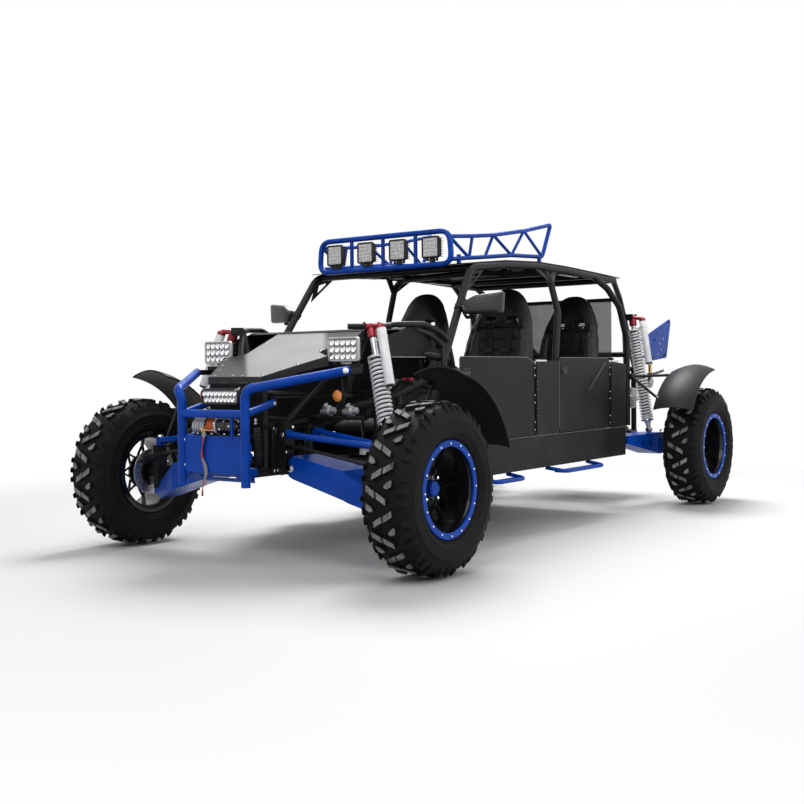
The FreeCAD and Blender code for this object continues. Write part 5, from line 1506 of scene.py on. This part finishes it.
class BUGGY_OT_doors(bpy.types.Operator):
    """Painted edge highlights, latches, creases and hinge screws of the doors and side sheets"""
    bl_idname = "buggy.doors"
    bl_label = "Doors"

    # name, front and rear edge, and width of the chamfered corner
    LEAVES = (("front", -890, -118, 95), ("rear", 162, 842, 42))
    # hinge: lowest leaf, height of a leaf and where the screws of a leaf sit
    HINGE, STEP, SCREWS = 543, 74.6, (16, 58)

    def execute(self, context):
        for name, front, rear, chamfer in self.LEAVES:
            for side, word in WORDS:
                form = Form("black_sheet")
                self.leaf(form, front, rear, chamfer)
                if name == "rear":
                    self.creases(form)
                if side < 0:
                    self.flip(form)
                form.done(f"door_{name}_{word}_fittings", f"door_{name}_{word}")
        form = Form("black_sheet")
        for _, _, rear, _ in self.LEAVES:
            self.screws(form, rear + 17, (1, 3))
        # painted highlight: white strips on the top edges of the side sheets stand in for the glints on their
        # folded lips
        form.use("spring_white")
        for y0, y1 in ((-112, 8), (856, 962)):
            form.block(at(634, y0, 935), at(643.4, y1, 944.6), 0.0015)
        # painted highlight: a grey line along the lower edge of the side sheets
        form.use("edge_grey").tube([at(640.5, -902, 524.5), at(640.5, 160, 524.5), at(640.5, 1058, 524.5)],
                                   0.0016, 6)
        form.mirror().done("side_sheet_fittings", "chassis")
        return {"FINISHED"}

    def flip(self, form):
        """Turn a left-hand form into a right-hand one."""
        bmesh.ops.scale(form.mesh, vec=(-1, 1, 1), verts=form.mesh.verts)
        bmesh.ops.reverse_faces(form.mesh, faces=form.mesh.faces)

    def leaf(self, form, front, rear, chamfer):
        """Painted highlights along the top and front edges, hinge screws, latch with its handle, and the check
        strap of one door.
        """
        top = [at(639.6, front + 10, 958), at(639.6, rear - chamfer - 4, 958),
               at(639.6, rear - chamfer + 4, 956.5), at(639.6, rear - 14, 932)]
        # painted highlight: grey beads along the top edge with its chamfer, and along the front edge
        form.use("edge_grey").tube(top, 0.0021, 8)
        form.tube([at(639.6, front + 1, 945), at(639.6, front + 1, 550)], 0.0016, 8)
        self.screws(form, rear - 11, (0, 2, 4))
        form.use("lamp").block(at(639.8, front + 24, 862), at(643, front + 92, 902), 0.0014)
        form.use("rim_black").block(at(643, front + 32, 872), at(652, front + 82, 882), 0.003)
        form.bar(at(640, front + 84, 893), at(646, front + 84, 893), 0.005)
        form.use("silver").block(at(596, front + 36, 868), at(616.4, front + 92, 896), 0.003)
        form.use("webbing_black").tube([at(615, rear - 160, 900), at(606, rear - 150, 880),
                                        at(598, rear - 150, 800), at(606, rear - 150, 720),
                                        at(615, rear - 160, 700)], 0.006, 8)

    def screws(self, form, y, rows):
        """Screws in some of the leaves of a hinge."""
        form.use("chrome")
        for k in rows:
            for up in self.SCREWS:
                form.dome(at(641.8, y, self.HINGE + self.STEP * k + up), X, 0.0036, 0.0022, 10)

    def creases(self, form):
        """Slanted creases pressed into a rear door; the upper one carries a painted highlight line, the lower one
        is a raised rib of the door's own black.
        """
        line = [at(639.4, y, z) for y, z in ((774, 931), (660, 850), (540, 764))]
        # painted highlight along the upper crease
        form.use("edge_grey").tube(line, [0.0026, 0.003, 0.0012], 6)
        line = [at(639, y, z) for y, z in ((668, 876), (560, 800), (440, 716))]
        form.use("black_sheet").tube(line, [0.004, 0.0045, 0.002], 6)


class BUGGY_OT_body(bpy.types.Operator):
    """Screws, bolts, box plates, castings, roof pods, step treads, calliper covers and the rear screen"""
    bl_idname = "buggy.body"
    bl_label = "Body fittings"

    # rise of the roof towards the rear, and of the hood from the height and depth of its front edge
    ROOF_RISE, HOOD_RISE, HOOD_FRONT = 0.0623, 0.343, (870.4, -1811)
    # outer face of the front box's side plate, and where the mesh screen stands and how wide its cells are
    PLATE, SCREEN, CELL = 184.4, 1086, 7
    COLUMNS, ROWS = 76, 53
    COVER = mm([(-112, 80), (-110.7, 80), (-110.7, 139.7), (-74.3, 139.7), (-74.3, 80), (-72, 80), (-72, 136),
                (-77, 141.5), (-108, 141.5), (-112, 137)])

    def execute(self, context):
        form = Form("black_paint")
        self.hood(form)
        self.guard(form)
        self.box(form)
        self.arms(form)
        self.cabin(form)
        self.tail(form)
        self.treads(form)
        self.screen(form)
        form.mirror().done("body_fittings", "chassis")
        self.callipers()
        return {"FINISHED"}

    def hood(self, form):
        """Screws with their washers, the box's front slots, and painted highlights on the edges of hood and cowl.
        """
        up = Vector((0, -0.324, 0.946))
        height, front = self.HOOD_FRONT
        for x, y in ((30, -1796), (150, -1790), (196, -1712), (238, -1650), (296, -1570), (226, -1470),
                     (258, -1320), (286, -1186), (120, -1172)):
            base = at(x, y, height + self.HOOD_RISE * (y - front))
            form.use("silver").lathe(mm([(-1, 8), (0.6, 8), (1.0, 6.5)]), base, up, 16)
            form.use("rim_black").dome(base + up * 0.0008, up, 0.0045, 0.0028, 12)
        form.use("rim_black")
        for x in (60, 138):
            form.block(at(x - 28, -1816, 836), at(x + 28, -1812.5, 848), 0.0014)
        form.tube([at(300, -1160, 1094), at(0, -1160, 1094)], 0.005, 8)
        # painted highlight: a pale grey bead along the cowl's edge
        form.use("bezel_grey").tube([at(506.6, -1296, 956.4), at(506.6, -884, 956.4)], 0.0016, 8)

    def guard(self, form):
        """Bolts of the guard's stays and plate, with its bright bead and lugs."""
        horn = Vector((0.81, -0.57, 0.1)).normalized()
        form.use("silver").lathe(mm([(-3, 14), (1.5, 14), (2.5, 12)]), at(487, -1603, 893), horn, 24)
        form.use("chrome").nut(at(487, -1603, 893) + horn * 0.002, horn, 0.0095, 0.007)
        form.nut(at(214, -1780, 748), X, 0.0095, 0.007)
        for x, z in ((182, 585), (182, 470)):
            form.dome(at(x, -1959, z), -Y, 0.0075, 0.004, 14)
        form.use("blue_paint").tube([at(0, -1957.5, 602), at(186, -1957.5, 602)], 0.0035, 8)
        for z in (545, 500):
            form.block(at(206, -1952, z), at(220.5, -1938, z + 26), 0.002)

    def box(self, form):
        """Side plate of the front box with its bolts, and the finned cooler before it."""
        form.use("black_paint").block(at(181.3, -1768, 426), at(self.PLATE, -1610, 648), 0.0008)
        form.use("rim_black").lathe(mm([(0, 20), (2.5, 20), (3, 18), (3, 12), (1, 11)]),
                                    at(self.PLATE, -1672, 470), X, 32)
        form.lathe(mm([(0, 26), (6, 26), (8, 23), (8, 8)]), at(self.PLATE, -1726, 612), X, 32)
        form.use("chrome")
        for y, z in ((-1752, 440), (-1752, 634), (-1626, 440), (-1626, 634), (-1678, 521), (-1729, 440)):
            form.nut(at(self.PLATE, y, z), X, 0.008, 0.006)
        form.use("lamp").block(at(181.3, -1886, 470), at(190, -1846, 642), 0.002)
        for k in range(9):
            form.block(at(190, -1884, 478 + 18 * k), at(197, -1848, 482 + 18 * k), 0.001)
        form.use("chrome")
        for z in (662, 676):
            form.nut(at(179, -1870, z), X, 0.007, 0.008)

    def arms(self, form):
        """Castings and cross tube over the front arms, with the bolts, joints and plugs of the arms."""
        form.use("black_paint").bar(at(93, -1500, 670), at(505, -1500, 675), 0.009)
        for x in (300, 432):
            form.use("cast_silver").lathe(mm([(-44, 8), (-40, 15), (-20, 16), (-14, 25), (12, 26), (18, 17),
                                              (38, 15), (43, 7)]), at(x, -1500, 705), (1, 0, 0.12), 28)
            form.lathe(mm([(0, 13), (10, 12), (13, 15), (19, 14)]), at(x - 8, -1500, 722), (-0.6, -0.4, 1), 20)
        for y, way in ((-1690.5, -1), (-1469.5, 1)):
            form.use("silver").lathe(mm([(0, 17), (2, 17), (3, 15)]), at(228, y, 447), (0, way, 0), 24)
            form.use("chrome").nut(at(228, y + way * 2.5, 447), (0, way, 0), 0.013, 0.009)
        for y, way in ((-1725, -1), (-1445, 1)):
            form.use("chrome").nut(at(215, y, 605), (0, way, 0), 0.012, 0.009)
        form.use("silver").lathe(mm([(0, 15), (4, 17), (12, 14), (15, 6)]), at(760, -AXLE_Y, 560.5), Z, 24)
        form.lathe(mm([(0, 19), (5, 21), (10, 18), (14, 8)]), at(760, -AXLE_Y, 273.5), -Z, 24)
        form.use("chrome")
        for x, y, z in ((600, 1180, 430), (716, 1430, 487)):
            form.nut(at(x, y, z), X, 0.012, 0.009)
        form.use("blue_paint")
        for x in range(300, 541, 80):
            z = 463 - (x - 240) * 57 / 290
            form.lathe(mm([(0, 7), (1.4, 7), (2, 5)]), at(x, -1690.4, z), -Y, 16)

    def cabin(self, form):
        """Door post, corner pods under the roof and the lamp strip over the rear seats."""
        post = [at(566, -876, 1040), at(584, -872, 960), at(600, -868, 860), at(600, -868, 548)]
        form.use("black_paint").tube(post, 0.009, 12)
        for y, z, half in ((-180, 1475, 66), (60, 1490, 78)):
            rings = []
            for share, drop in ((0.86, 0), (1.0, -6), (1.0, -20), (0.9, -28), (0.5, -32)):
                flat = [(34 * share * math.cos(a), half * share * math.sin(a)) for a in turns(28)]
                rings.append([at(420 + dx, y + dy, z + drop + self.ROOF_RISE * dy) for dx, dy in flat])
            form.use("lamp").skin(rings)
            form.use("grille").lathe(mm([(30, 24), (33, 22), (34, 8)]), at(420, y, z), -Z, 28)
        form.use("lamp").block(at(455, 470, 1462), at(480, 740, 1474), 0.003)
        form.use("lens").block(at(458, 476, 1458.5), at(477, 734, 1462.5), 0.0015)
        form.use("black_paint")
        for y in (520, 680):
            form.block(at(455, y, 1470), at(480, y + 20, 1488), 0.001)

    def tail(self, form):
        """Castings, link and hose at the rear carrier, and the bolts of the tail plates and mudguards."""
        form.use("cast_silver").lathe(mm([(-42, 22), (-38, 34), (-14, 38), (-8, 46), (20, 48), (26, 40),
                                          (40, 24)]), at(428, 1896, 798), (1, -0.3, 0.1), 32)
        form.lathe(mm([(-70, 26), (-64, 38), (-20, 42), (-12, 50), (10, 50), (18, 40), (66, 34), (70, 20)]),
                   at(398, 1685, 690), (0.1, 0.1, 1), 32)
        form.tube([at(430, 1900, 826), at(470, 1915, 856), at(540, 1925, 880)], 0.013, 14)
        form.use("brass").lathe(mm([(-28, 15), (-26, 12), (24, 12), (26, 16), (34, 16)]), at(480, 1828, 890), Z,
                                20)
        form.use("rim_black")
        for z in (848, 924):
            form.lathe(mm([(0, 17), (2, 20), (12, 20), (14, 16)]), at(480, 1828, z), Z, 24)
        form.tube([at(480, 1828, 850), at(470, 1836, 815), at(440, 1870, 800)], 0.009, 12)
        for y, z in ((1500, 1095), (1885, 1215), (1822, 985), (1592, 960), (1640, 1085), (1790, 975)):
            form.nut(at(597, y, z), X, 0.008, 0.006)
        form.use("chrome")
        for angle in STAY_ANGLES:
            way = spoke(-math.radians(angle))
            form.nut(at(800, AXLE_Y, WHEEL_Z) + way * 0.507, way, 0.008, 0.006)

    def treads(self, form):
        """Folded treads of the side steps."""
        form.use("blue_paint")
        for y0, y1 in ((-650, -390), (95, 561)):
            form.block(at(640, y0, 306.4), at(712, y1, 318.4), 0.002)

    def screen(self, form):
        """Mesh screen behind the rear seats, with the tubes above and below it."""
        y = self.SCREEN
        form.use("black_paint").bar(at(0, y, 1334), at(546, y, 1334), 0.012, 14)
        form.bar(at(0, y, 954), at(546, y, 954), 0.008, 12)
        form.use("lamp")
        for k in range(self.COLUMNS):
            x = self.CELL * (k + 0.5)
            form.bar(at(x, y, 950), at(x, y, 1330), 0.0021, 6)
        for k in range(self.ROWS):
            z = 962 + self.CELL * k
            form.bar(at(0, y + 2, z), at(534, y + 2, z), 0.0021, 6)

    def callipers(self):
        """Cast covers of the front and rear callipers, and the bolts of the front uprights."""
        for body, y, sides in (("knuckle_left", -AXLE_Y, SIDES[:1]), ("knuckle_right", -AXLE_Y, SIDES[1:]),
                               ("chassis", AXLE_Y, SIDES)):
            form = Form("cast_silver")
            for side in sides:
                hub = at(side * WHEEL_X, y, WHEEL_Z)
                out = Vector((side, 0, 0))
                ways = [spoke(math.radians(54 + 52 * k / 14)) for k in range(15)]
                form.use("cast_silver").skin([[hub + out * x + way * r for x, r in self.COVER] for way in ways])
                form.use("chrome")
                for angle in (66, 94):
                    form.nut(hub - out * 0.112 + spoke(math.radians(angle)) * 0.108, -out, 0.009, 0.007)
                if y < 0:
                    for dy, z in ((18, 530), (-18, 400)):
                        form.nut(at(side * 782.2, y + dy, z), (side, 0, 0), 0.009, 0.007)
            form.done("calliper_covers_" + body, body)


class BUGGY_OT_mirrors(bpy.types.Operator):
    """Mirror heads with their glass, ball stems and clamps on the pillars"""
    bl_idname = "buggy.mirrors"
    bl_label = "Mirrors"

    OUTLINE = ((-118, 1173), (82, 1175), (88, 1286), (-62, 1270), (-122, 1238))
    PLACE = at(695, -712, 0)
    SHELL = ((-27, 0.66), (-24, 0.84), (-17, 0.95), (-4, 1), (16, 1), (20, 0.98), (20, 0.93), (17, 0.92))
    TOE = Matrix.Rotation(math.radians(18), 3, "Z")
    BEND = 18

    def execute(self, context):
        form = Form("mirror_shell")
        form.skin([self.loop(y, share) for y, share in self.SHELL])
        form.use("mirror_glass").skin([self.loop(y, 0.915) for y in (16.8, 18.4)])
        form.use("black_paint")
        form.tube([at(634, -733, 1182), at(630, -732, 1168), at(610, -729, 1160), at(582, -729, 1158)], 0.0085,
                  14)
        form.lathe(mm([(-9, 5), (-6, 11), (0, 13), (6, 11), (9, 5)]), at(632, -733, 1168), (0.3, 0, 1), 20)
        form.lathe(mm([(-14, 21), (-14, 24.5), (14, 24.5), (14, 21)]), at(545, -742, 1210), (-0.14, 0.62, 0.77),
                   32, wrap=True)
        form.tube([at(582, -729, 1158), at(570, -733, 1180), at(562, -738, 1200)], 0.008, 12)
        form.use("chrome").nut(at(568, -744, 1214), (1, -0.2, 0), 0.006, 0.005)
        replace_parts(form.mirror().done("mirror_heads", "chassis", "lamp"), "mirrors")
        return {"FINISHED"}

    def loop(self, y, share):
        """Rounded outline of the head, drawn in towards its middle by a share."""
        corners = [Vector(corner) for corner in self.OUTLINE]
        centre = sum(corners, Vector((0, 0))) / len(corners)
        flat = []
        for k, corner in enumerate(corners):
            after = corners[(k + 1) % len(corners)]
            arc = bent([corners[k - 1], corner, after], self.BEND, 4)[1:-1]
            flat += [centre + (spot - centre) * share for spot in arc]
        return [self.PLACE + self.TOE @ at(spot.x, y, 0) + at(0, 0, spot.y) for spot in flat]


class BUGGY_OT_rack(bpy.types.Operator):
    """Blue lamp hoop, its uprights and the two side trusses on the roof"""
    bl_idname = "buggy.rack"
    bl_label = "Roof rack"

    TOP = ((-650, 1590), (-423, 1612), (-205, 1637), (139, 1693), (464, 1760))
    LOW = ((-650, 1470), (-458, 1492), (-296, 1509), (-7, 1541), (357, 1559))
    WEB = ((0, 1), (1, 1), (2, 2), (2, 3), (3, 3), (3, 4))
    PIPE, SPAN, HOOP = 14, 430, -650

    def execute(self, context):
        form = Form("blue_paint")
        span, foot = self.SPAN, self.SPAN + 14
        corners = [(0, 1448), (foot, 1448), (span, 1621), (-span, 1621), (-foot, 1448), (0, 1448)]
        form.tube(bent([at(x, self.HOOP, z) for x, z in corners], 0.06)[:-1], (self.PIPE + 1) * MM, 18, wrap=True)
        for x in (-span / 2, 0, span / 2):
            form.bar(at(x, self.HOOP, 1448), at(x, self.HOOP, 1621), (self.PIPE - 3) * MM, 16)
        for side in SIDES:
            self.truss(form, side)
        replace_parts(form.done("rack_tubes", "chassis"), "roof_rack")
        return {"FINISHED"}

    def truss(self, form, side):
        """One side's upper and lower tube in a single loop, with its web and two feet."""
        x = self.SPAN * side
        top = [at(x, y, z) for y, z in self.TOP]
        low = [at(x, y, z) for y, z in self.LOW]
        form.tube(bent(top + [low[-1]] + low[-2::-1], 0.024), (self.PIPE - 2) * MM, 14)
        for upper, lower in self.WEB:
            form.tube([top[upper], (top[upper] + low[lower]) / 2, low[lower]], (self.PIPE - 5) * MM, 10)
        for y, z in ((-560, 1455.6), (320, 1510.4)):
            form.bar(at(x, y, z), at(x, y, z + 46), (self.PIPE - 2) * MM, 14)


class BUGGY_OT_mudguards(bpy.types.Operator):
    """Smooth crowned mudguards with rolled edges that carry a painted highlight bead, and the rear ones' stays"""
    bl_idname = "buggy.mudguards"
    bl_label = "Mudguards"

    OUTER = ((789.7, 497), (790.2, 502.5), (812, 512.5), (850, 526), (885, 533.5), (920, 536.6), (955, 533.5),
             (990, 526), (1028, 512.5), (1049.8, 502.5), (1050.2, 497))
    SHEET, EDGE = 8.6, 497

    def execute(self, context):
        for side, word in WORDS:
            form = Form("guard_black")
            self.shell(form, side, -AXLE_Y, 1, 8.8, 72.2)
            form.done("mudguard_" + word, "knuckle_" + word, "black_sheet")
        form = Form("guard_black")
        for side in SIDES:
            self.shell(form, side, AXLE_Y, -1, 4.8, 60.2)
        form.use("black_paint")
        for side in SIDES:
            for angle in STAY_ANGLES:
                end = at(798 * side, AXLE_Y, WHEEL_Z) + spoke(-math.radians(angle)) * 0.502
                form.bar(at(590 * side, 1265, 840), end, 0.009, 16)
            low, high = sorted((580.6 * side, 600 * side))
            form.block(at(low, 1250, 820), at(high, 1280, 860), 0.002)
        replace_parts(form.done("rear_mudguards", "chassis", "black_sheet"), "rear_fenders")
        return {"FINISHED"}

    def shell(self, form, side, hub_y, way, low, high):
        """Sheet from a low to a high angle behind the wheel's top; way is 1 towards the rear."""
        section = list(self.OUTER) + [(x, r - self.SHEET) for x, r in reversed(self.OUTER[1:-1])]
        rings = []
        edge = []
        for k in range(29):
            a = math.radians(low + (high - low) * k / 28)
            hub, out = at(0, hub_y, WHEEL_Z), spoke(way * a)
            rings.append([hub + at(side * x, 0, 0) + out * r * MM for x, r in section])
            edge.append(hub + at(side * 1048.6, 0, 0) + out * self.EDGE * MM)
        form.use("guard_black").skin(rings)
        # painted highlight: a grey bead along the rolled outer edge
        form.use("edge_grey").tube(edge, 0.0016, 6)


class BUGGY_OT_engine(bpy.types.Operator):
    """Open engine with its covers, plenum, pulleys, headers, silencer and gearbox"""
    bl_idname = "buggy.engine"
    bl_label = "Engine"

    MIDDLE = 585

    def execute(self, context):
        form = Form("cast_silver")
        self.case(form)
        self.banks(form)
        self.intake(form)
        self.pulleys(form)
        self.exhaust(form)
        self.gearbox(form)
        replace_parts(form.done("engine_works", "chassis"), "engine_block")
        return {"FINISHED"}

    def ring(self, points, y, share):
        """Loop of the case at depth y, scaled about the case's middle."""
        return [at(x * share, y, self.MIDDLE + (z - self.MIDDLE) * share) for x, z in points]

    def case(self, form):
        """Crankcase with its ribs and sump, on two rubber-mounted cross members."""
        side = [(-130, 470), (130, 470), (170, 560), (170, 640), (60, 700), (-60, 700), (-170, 640), (-170, 560)]
        form.skin([self.ring(side, y, share) for y, share in ((1395, 0.95), (1402, 1), (1683, 1), (1690, 0.95))])
        for y in range(1425, 1680, 42):
            form.skin([self.ring(side, y + d, 1.02) for d in (0, 5)])
        form.use("rim_black").block(at(-118, 1420, 452), at(118, 1670, 474), 0.006)
        for y in (1420, 1740):
            form.use("black_paint").block(at(-308.6, y, 427), at(308.6, y + 40, 473), 0.004)
            form.use("grip")
            for x in (-250, 250):
                form.lathe(mm([(0, 26), (4, 30), (18, 30), (22, 26)]), at(x, y + 20, 470), Z, 24)

    def banks(self, form):
        """Two banks of cylinders with their covers, fins, bolts and leads."""
        for sign in SIDES:
            turn = Matrix.Translation(at(72 * sign, 0, 610)) @ Matrix.Rotation(math.radians(38 * sign), 4, "Y")
            form.use("cast_silver").block(at(-60, 1412, 0), at(60, 1673, 150), 0.006, turn)
            for k in range(6):
                form.block(at(-64, 1416 + 44 * k, 12), at(64, 1422 + 44 * k, 140), 0.001, turn)
            form.use("rim_black").block(at(-52, 1418, 148), at(52, 1667, 190), 0.012, turn)
            for k in range(5):
                form.block(at(-34, 1436 + 46 * k, 189), at(34, 1452 + 46 * k, 194), 0.002, turn)
            form.use("chrome")
            way = turn.to_3x3() @ Z
            for x in (-48, 48):
                for k in range(5):
                    form.nut(turn @ at(x, 1426 + 58 * k, 158), way, 0.006, 0.006)
            form.use("grip")
            for k in range(3):
                start = turn @ at(0, 1450 + 88 * k, 192)
                lead = [start, start + way * 0.02, start + way * 0.036 + at(-14 * sign, 0, 6),
                        at(60 * sign, 1450 + 80 * k, 800)]
                form.tube(lead, 0.0042, 8)

    def intake(self, form):
        """Plenum with its runners, elbow and air filter."""
        form.use("silver").lathe(mm([(-4, 30), (0, 52), (8, 61), (14, 62), (226, 62), (232, 61), (240, 52),
                                     (244, 30)]), at(0, 1420, 840), Y, 40)
        for k in range(3):
            for sign in SIDES:
                y = 1460 + 80 * k
                form.tube([at(30 * sign, y, 810), at(62 * sign, y, 780), at(78 * sign, y, 748),
                           at(84 * sign, y, 716)], 0.019, 16)
        form.use("rim_black").tube([at(0, 1420, 840), at(0, 1392, 842), at(0, 1368, 850), at(20, 1352, 866)],
                                   0.036, 20)
        form.use("filter_red").lathe(mm([(0, 40), (6, 52), (10, 50), (14, 53), (18, 51), (100, 42), (104, 44),
                                         (110, 30)]), at(0, 1664, 846), (0, 1, 0.1), 36)
        form.use("chrome").lathe(mm([(0, 38), (0, 41), (9, 41), (9, 38)]), at(0, 1662, 846), (0, 1, 0.1), 32,
                                 wrap=True)
        form.use("rim_black").lathe(mm([(0, 46), (8, 46), (10, 42)]), at(0, 1770, 857), (0, 1, 0.1), 32)

    def pulleys(self, form):
        """Pulleys with their belt, and the alternator."""
        for x, z, r in ((0, 560, 62), (-105, 640, 34), (108, 650, 38), (0, 720, 30)):
            form.use("silver").lathe(mm([(0, r - 6), (2, r), (5, r - 4), (8, r - 4), (11, r), (14, r - 6),
                                         (14, 16), (18, 12)]), at(x, 1394, z), -Y, 36)
            form.use("chrome").nut(at(x, 1377, z), -Y, 0.01, 0.008)
        form.use("grip")
        loop = []
        for x, z, r, low, high in ((0, 560, 64, 215, 325), (108, 650, 40, -40, 60), (0, 720, 32, 55, 125),
                                   (-105, 640, 36, 120, 220)):
            for k in range(7):
                a = math.radians(low + (high - low) * k / 6)
                loop.append(at(x + r * math.cos(a), 1388, z + r * math.sin(a)))
        form.tube(loop, 0.0042, 8, wrap=True)
        form.use("cast_silver").lathe(mm([(0, 40), (6, 46), (70, 46), (78, 38)]), at(130, 1400, 690), Y, 32)

    def exhaust(self, form):
        """Headers, the pipes to the rear, and the silencer with its straps and tip."""
        for sign in SIDES:
            form.use("heat_steel")
            for k in range(3):
                y = 1446 + 84 * k
                path = [at(186 * sign, y, 668), at(222 * sign, y + 4, 640), at(246 * sign, y + 20, 612),
                        at(262 * sign, y + 44, 598)]
                form.tube(path, 0.017, 14)
                form.block(at(176 * sign - 12, y - 24, 640), at(176 * sign + 12, y + 24, 696), 0.004)
            form.tube([at(262 * sign, 1480, 600), at(262 * sign, 1620, 596), at(262 * sign, 1760, 598),
                       at(250 * sign, 1812, 622), at(214 * sign, 1840, 664)], 0.0215, 20)
        form.use("silver").lathe(mm([(-235, 20), (-233, 50), (-226, 57), (-200, 58), (200, 58), (226, 57),
                                     (233, 50), (235, 20)]), at(0, 1850, 690), X, 48)
        form.use("rim_black")
        for x in (-150, 142):
            form.lathe(mm([(0, 57), (0, 60), (8, 60), (8, 57)]), at(x, 1850, 690), X, 48, wrap=True)
            form.block(at(x - 2, 1842, 746), at(x + 10, 1858, 790), 0.001)
        tip = [at(150, 1880, 690), at(150, 1912, 690), at(150, 1926, 696), at(150, 1936, 708)]
        form.use("heat_steel").tube(tip, 0.026, 24, caps=False)

    def gearbox(self, form):
        """Gearbox with its bell housing, side flanges, bolts and breather."""
        upright = ((472, 90), (480, 108), (640, 108), (650, 92))
        form.use("cast_silver").skin([level(0, 1750, half, 66, 24, z) for z, half in upright])
        housing = ((196, 52, 1508), (204, 59, 1514), (204.7, 60, 1600), (204, 59, 1684), (196, 52, 1690))
        form.skin([rounded(0, 525, half, tall, 28, y) for half, tall, y in housing])
        for sign in SIDES:
            form.use("silver").lathe(mm([(0, 46), (6, 52), (10, 52)]), at(196 * sign, 1580, 525), (sign, 0, 0),
                                     32)
        form.use("chrome")
        for x in range(-176, 200, 44):
            for z in (476, 574):
                form.nut(at(x, 1690, z), Y, 0.006, 0.005)
        form.use("brass").lathe(mm([(0, 12), (20, 12), (22, 9), (40, 9)]), at(150, 1690, 600), (0, 1, 0.2), 16)
        form.use("grip").tube([at(150, 1728, 608), at(170, 1770, 640), at(230, 1800, 720), at(300, 1790, 800)],
                              0.012, 14)


class BUGGY_PT_panel(bpy.types.Panel):
    """Buttons for the stage and each group of pieces"""
    bl_idname = "BUGGY_PT_panel"
    bl_label = "Dune Buggy"
    bl_space_type = "VIEW_3D"
    bl_region_type = "UI"
    bl_category = "Dune Buggy"

    def draw(self, context):
        for group in (context.scene.buggy_paint, context.scene.buggy_sizes):
            for name in group.__annotations__:
                self.layout.prop(group, name)
        for operator in STEPS:
            self.layout.operator(operator.bl_idname)


STEPS = (BUGGY_OT_stage, BUGGY_OT_strap, BUGGY_OT_finishes, BUGGY_OT_tyres, BUGGY_OT_rims, BUGGY_OT_dampers,
         BUGGY_OT_winch, BUGGY_OT_front_lamps, BUGGY_OT_roof_lamps, BUGGY_OT_marker_lamps, BUGGY_OT_seats,
         BUGGY_OT_cockpit, BUGGY_OT_doors, BUGGY_OT_body, BUGGY_OT_mirrors, BUGGY_OT_rack, BUGGY_OT_mudguards,
         BUGGY_OT_engine)
CLASSES = (BuggyPaint, BuggySizes) + STEPS + (BUGGY_PT_panel,)


def register():
    for one in CLASSES:
        bpy.utils.register_class(one)
    bpy.types.Scene.buggy_paint = PointerProperty(type=BuggyPaint)
    bpy.types.Scene.buggy_sizes = PointerProperty(type=BuggySizes)


def unregister():
    del bpy.types.Scene.buggy_sizes
    del bpy.types.Scene.buggy_paint
    for one in reversed(CLASSES):
        bpy.utils.unregister_class(one)


def main():
    register()
    for operator in STEPS:
        group, name = operator.bl_idname.split(".")
        getattr(getattr(bpy.ops, group), name)()


if __name__ == "__main__":
    main()
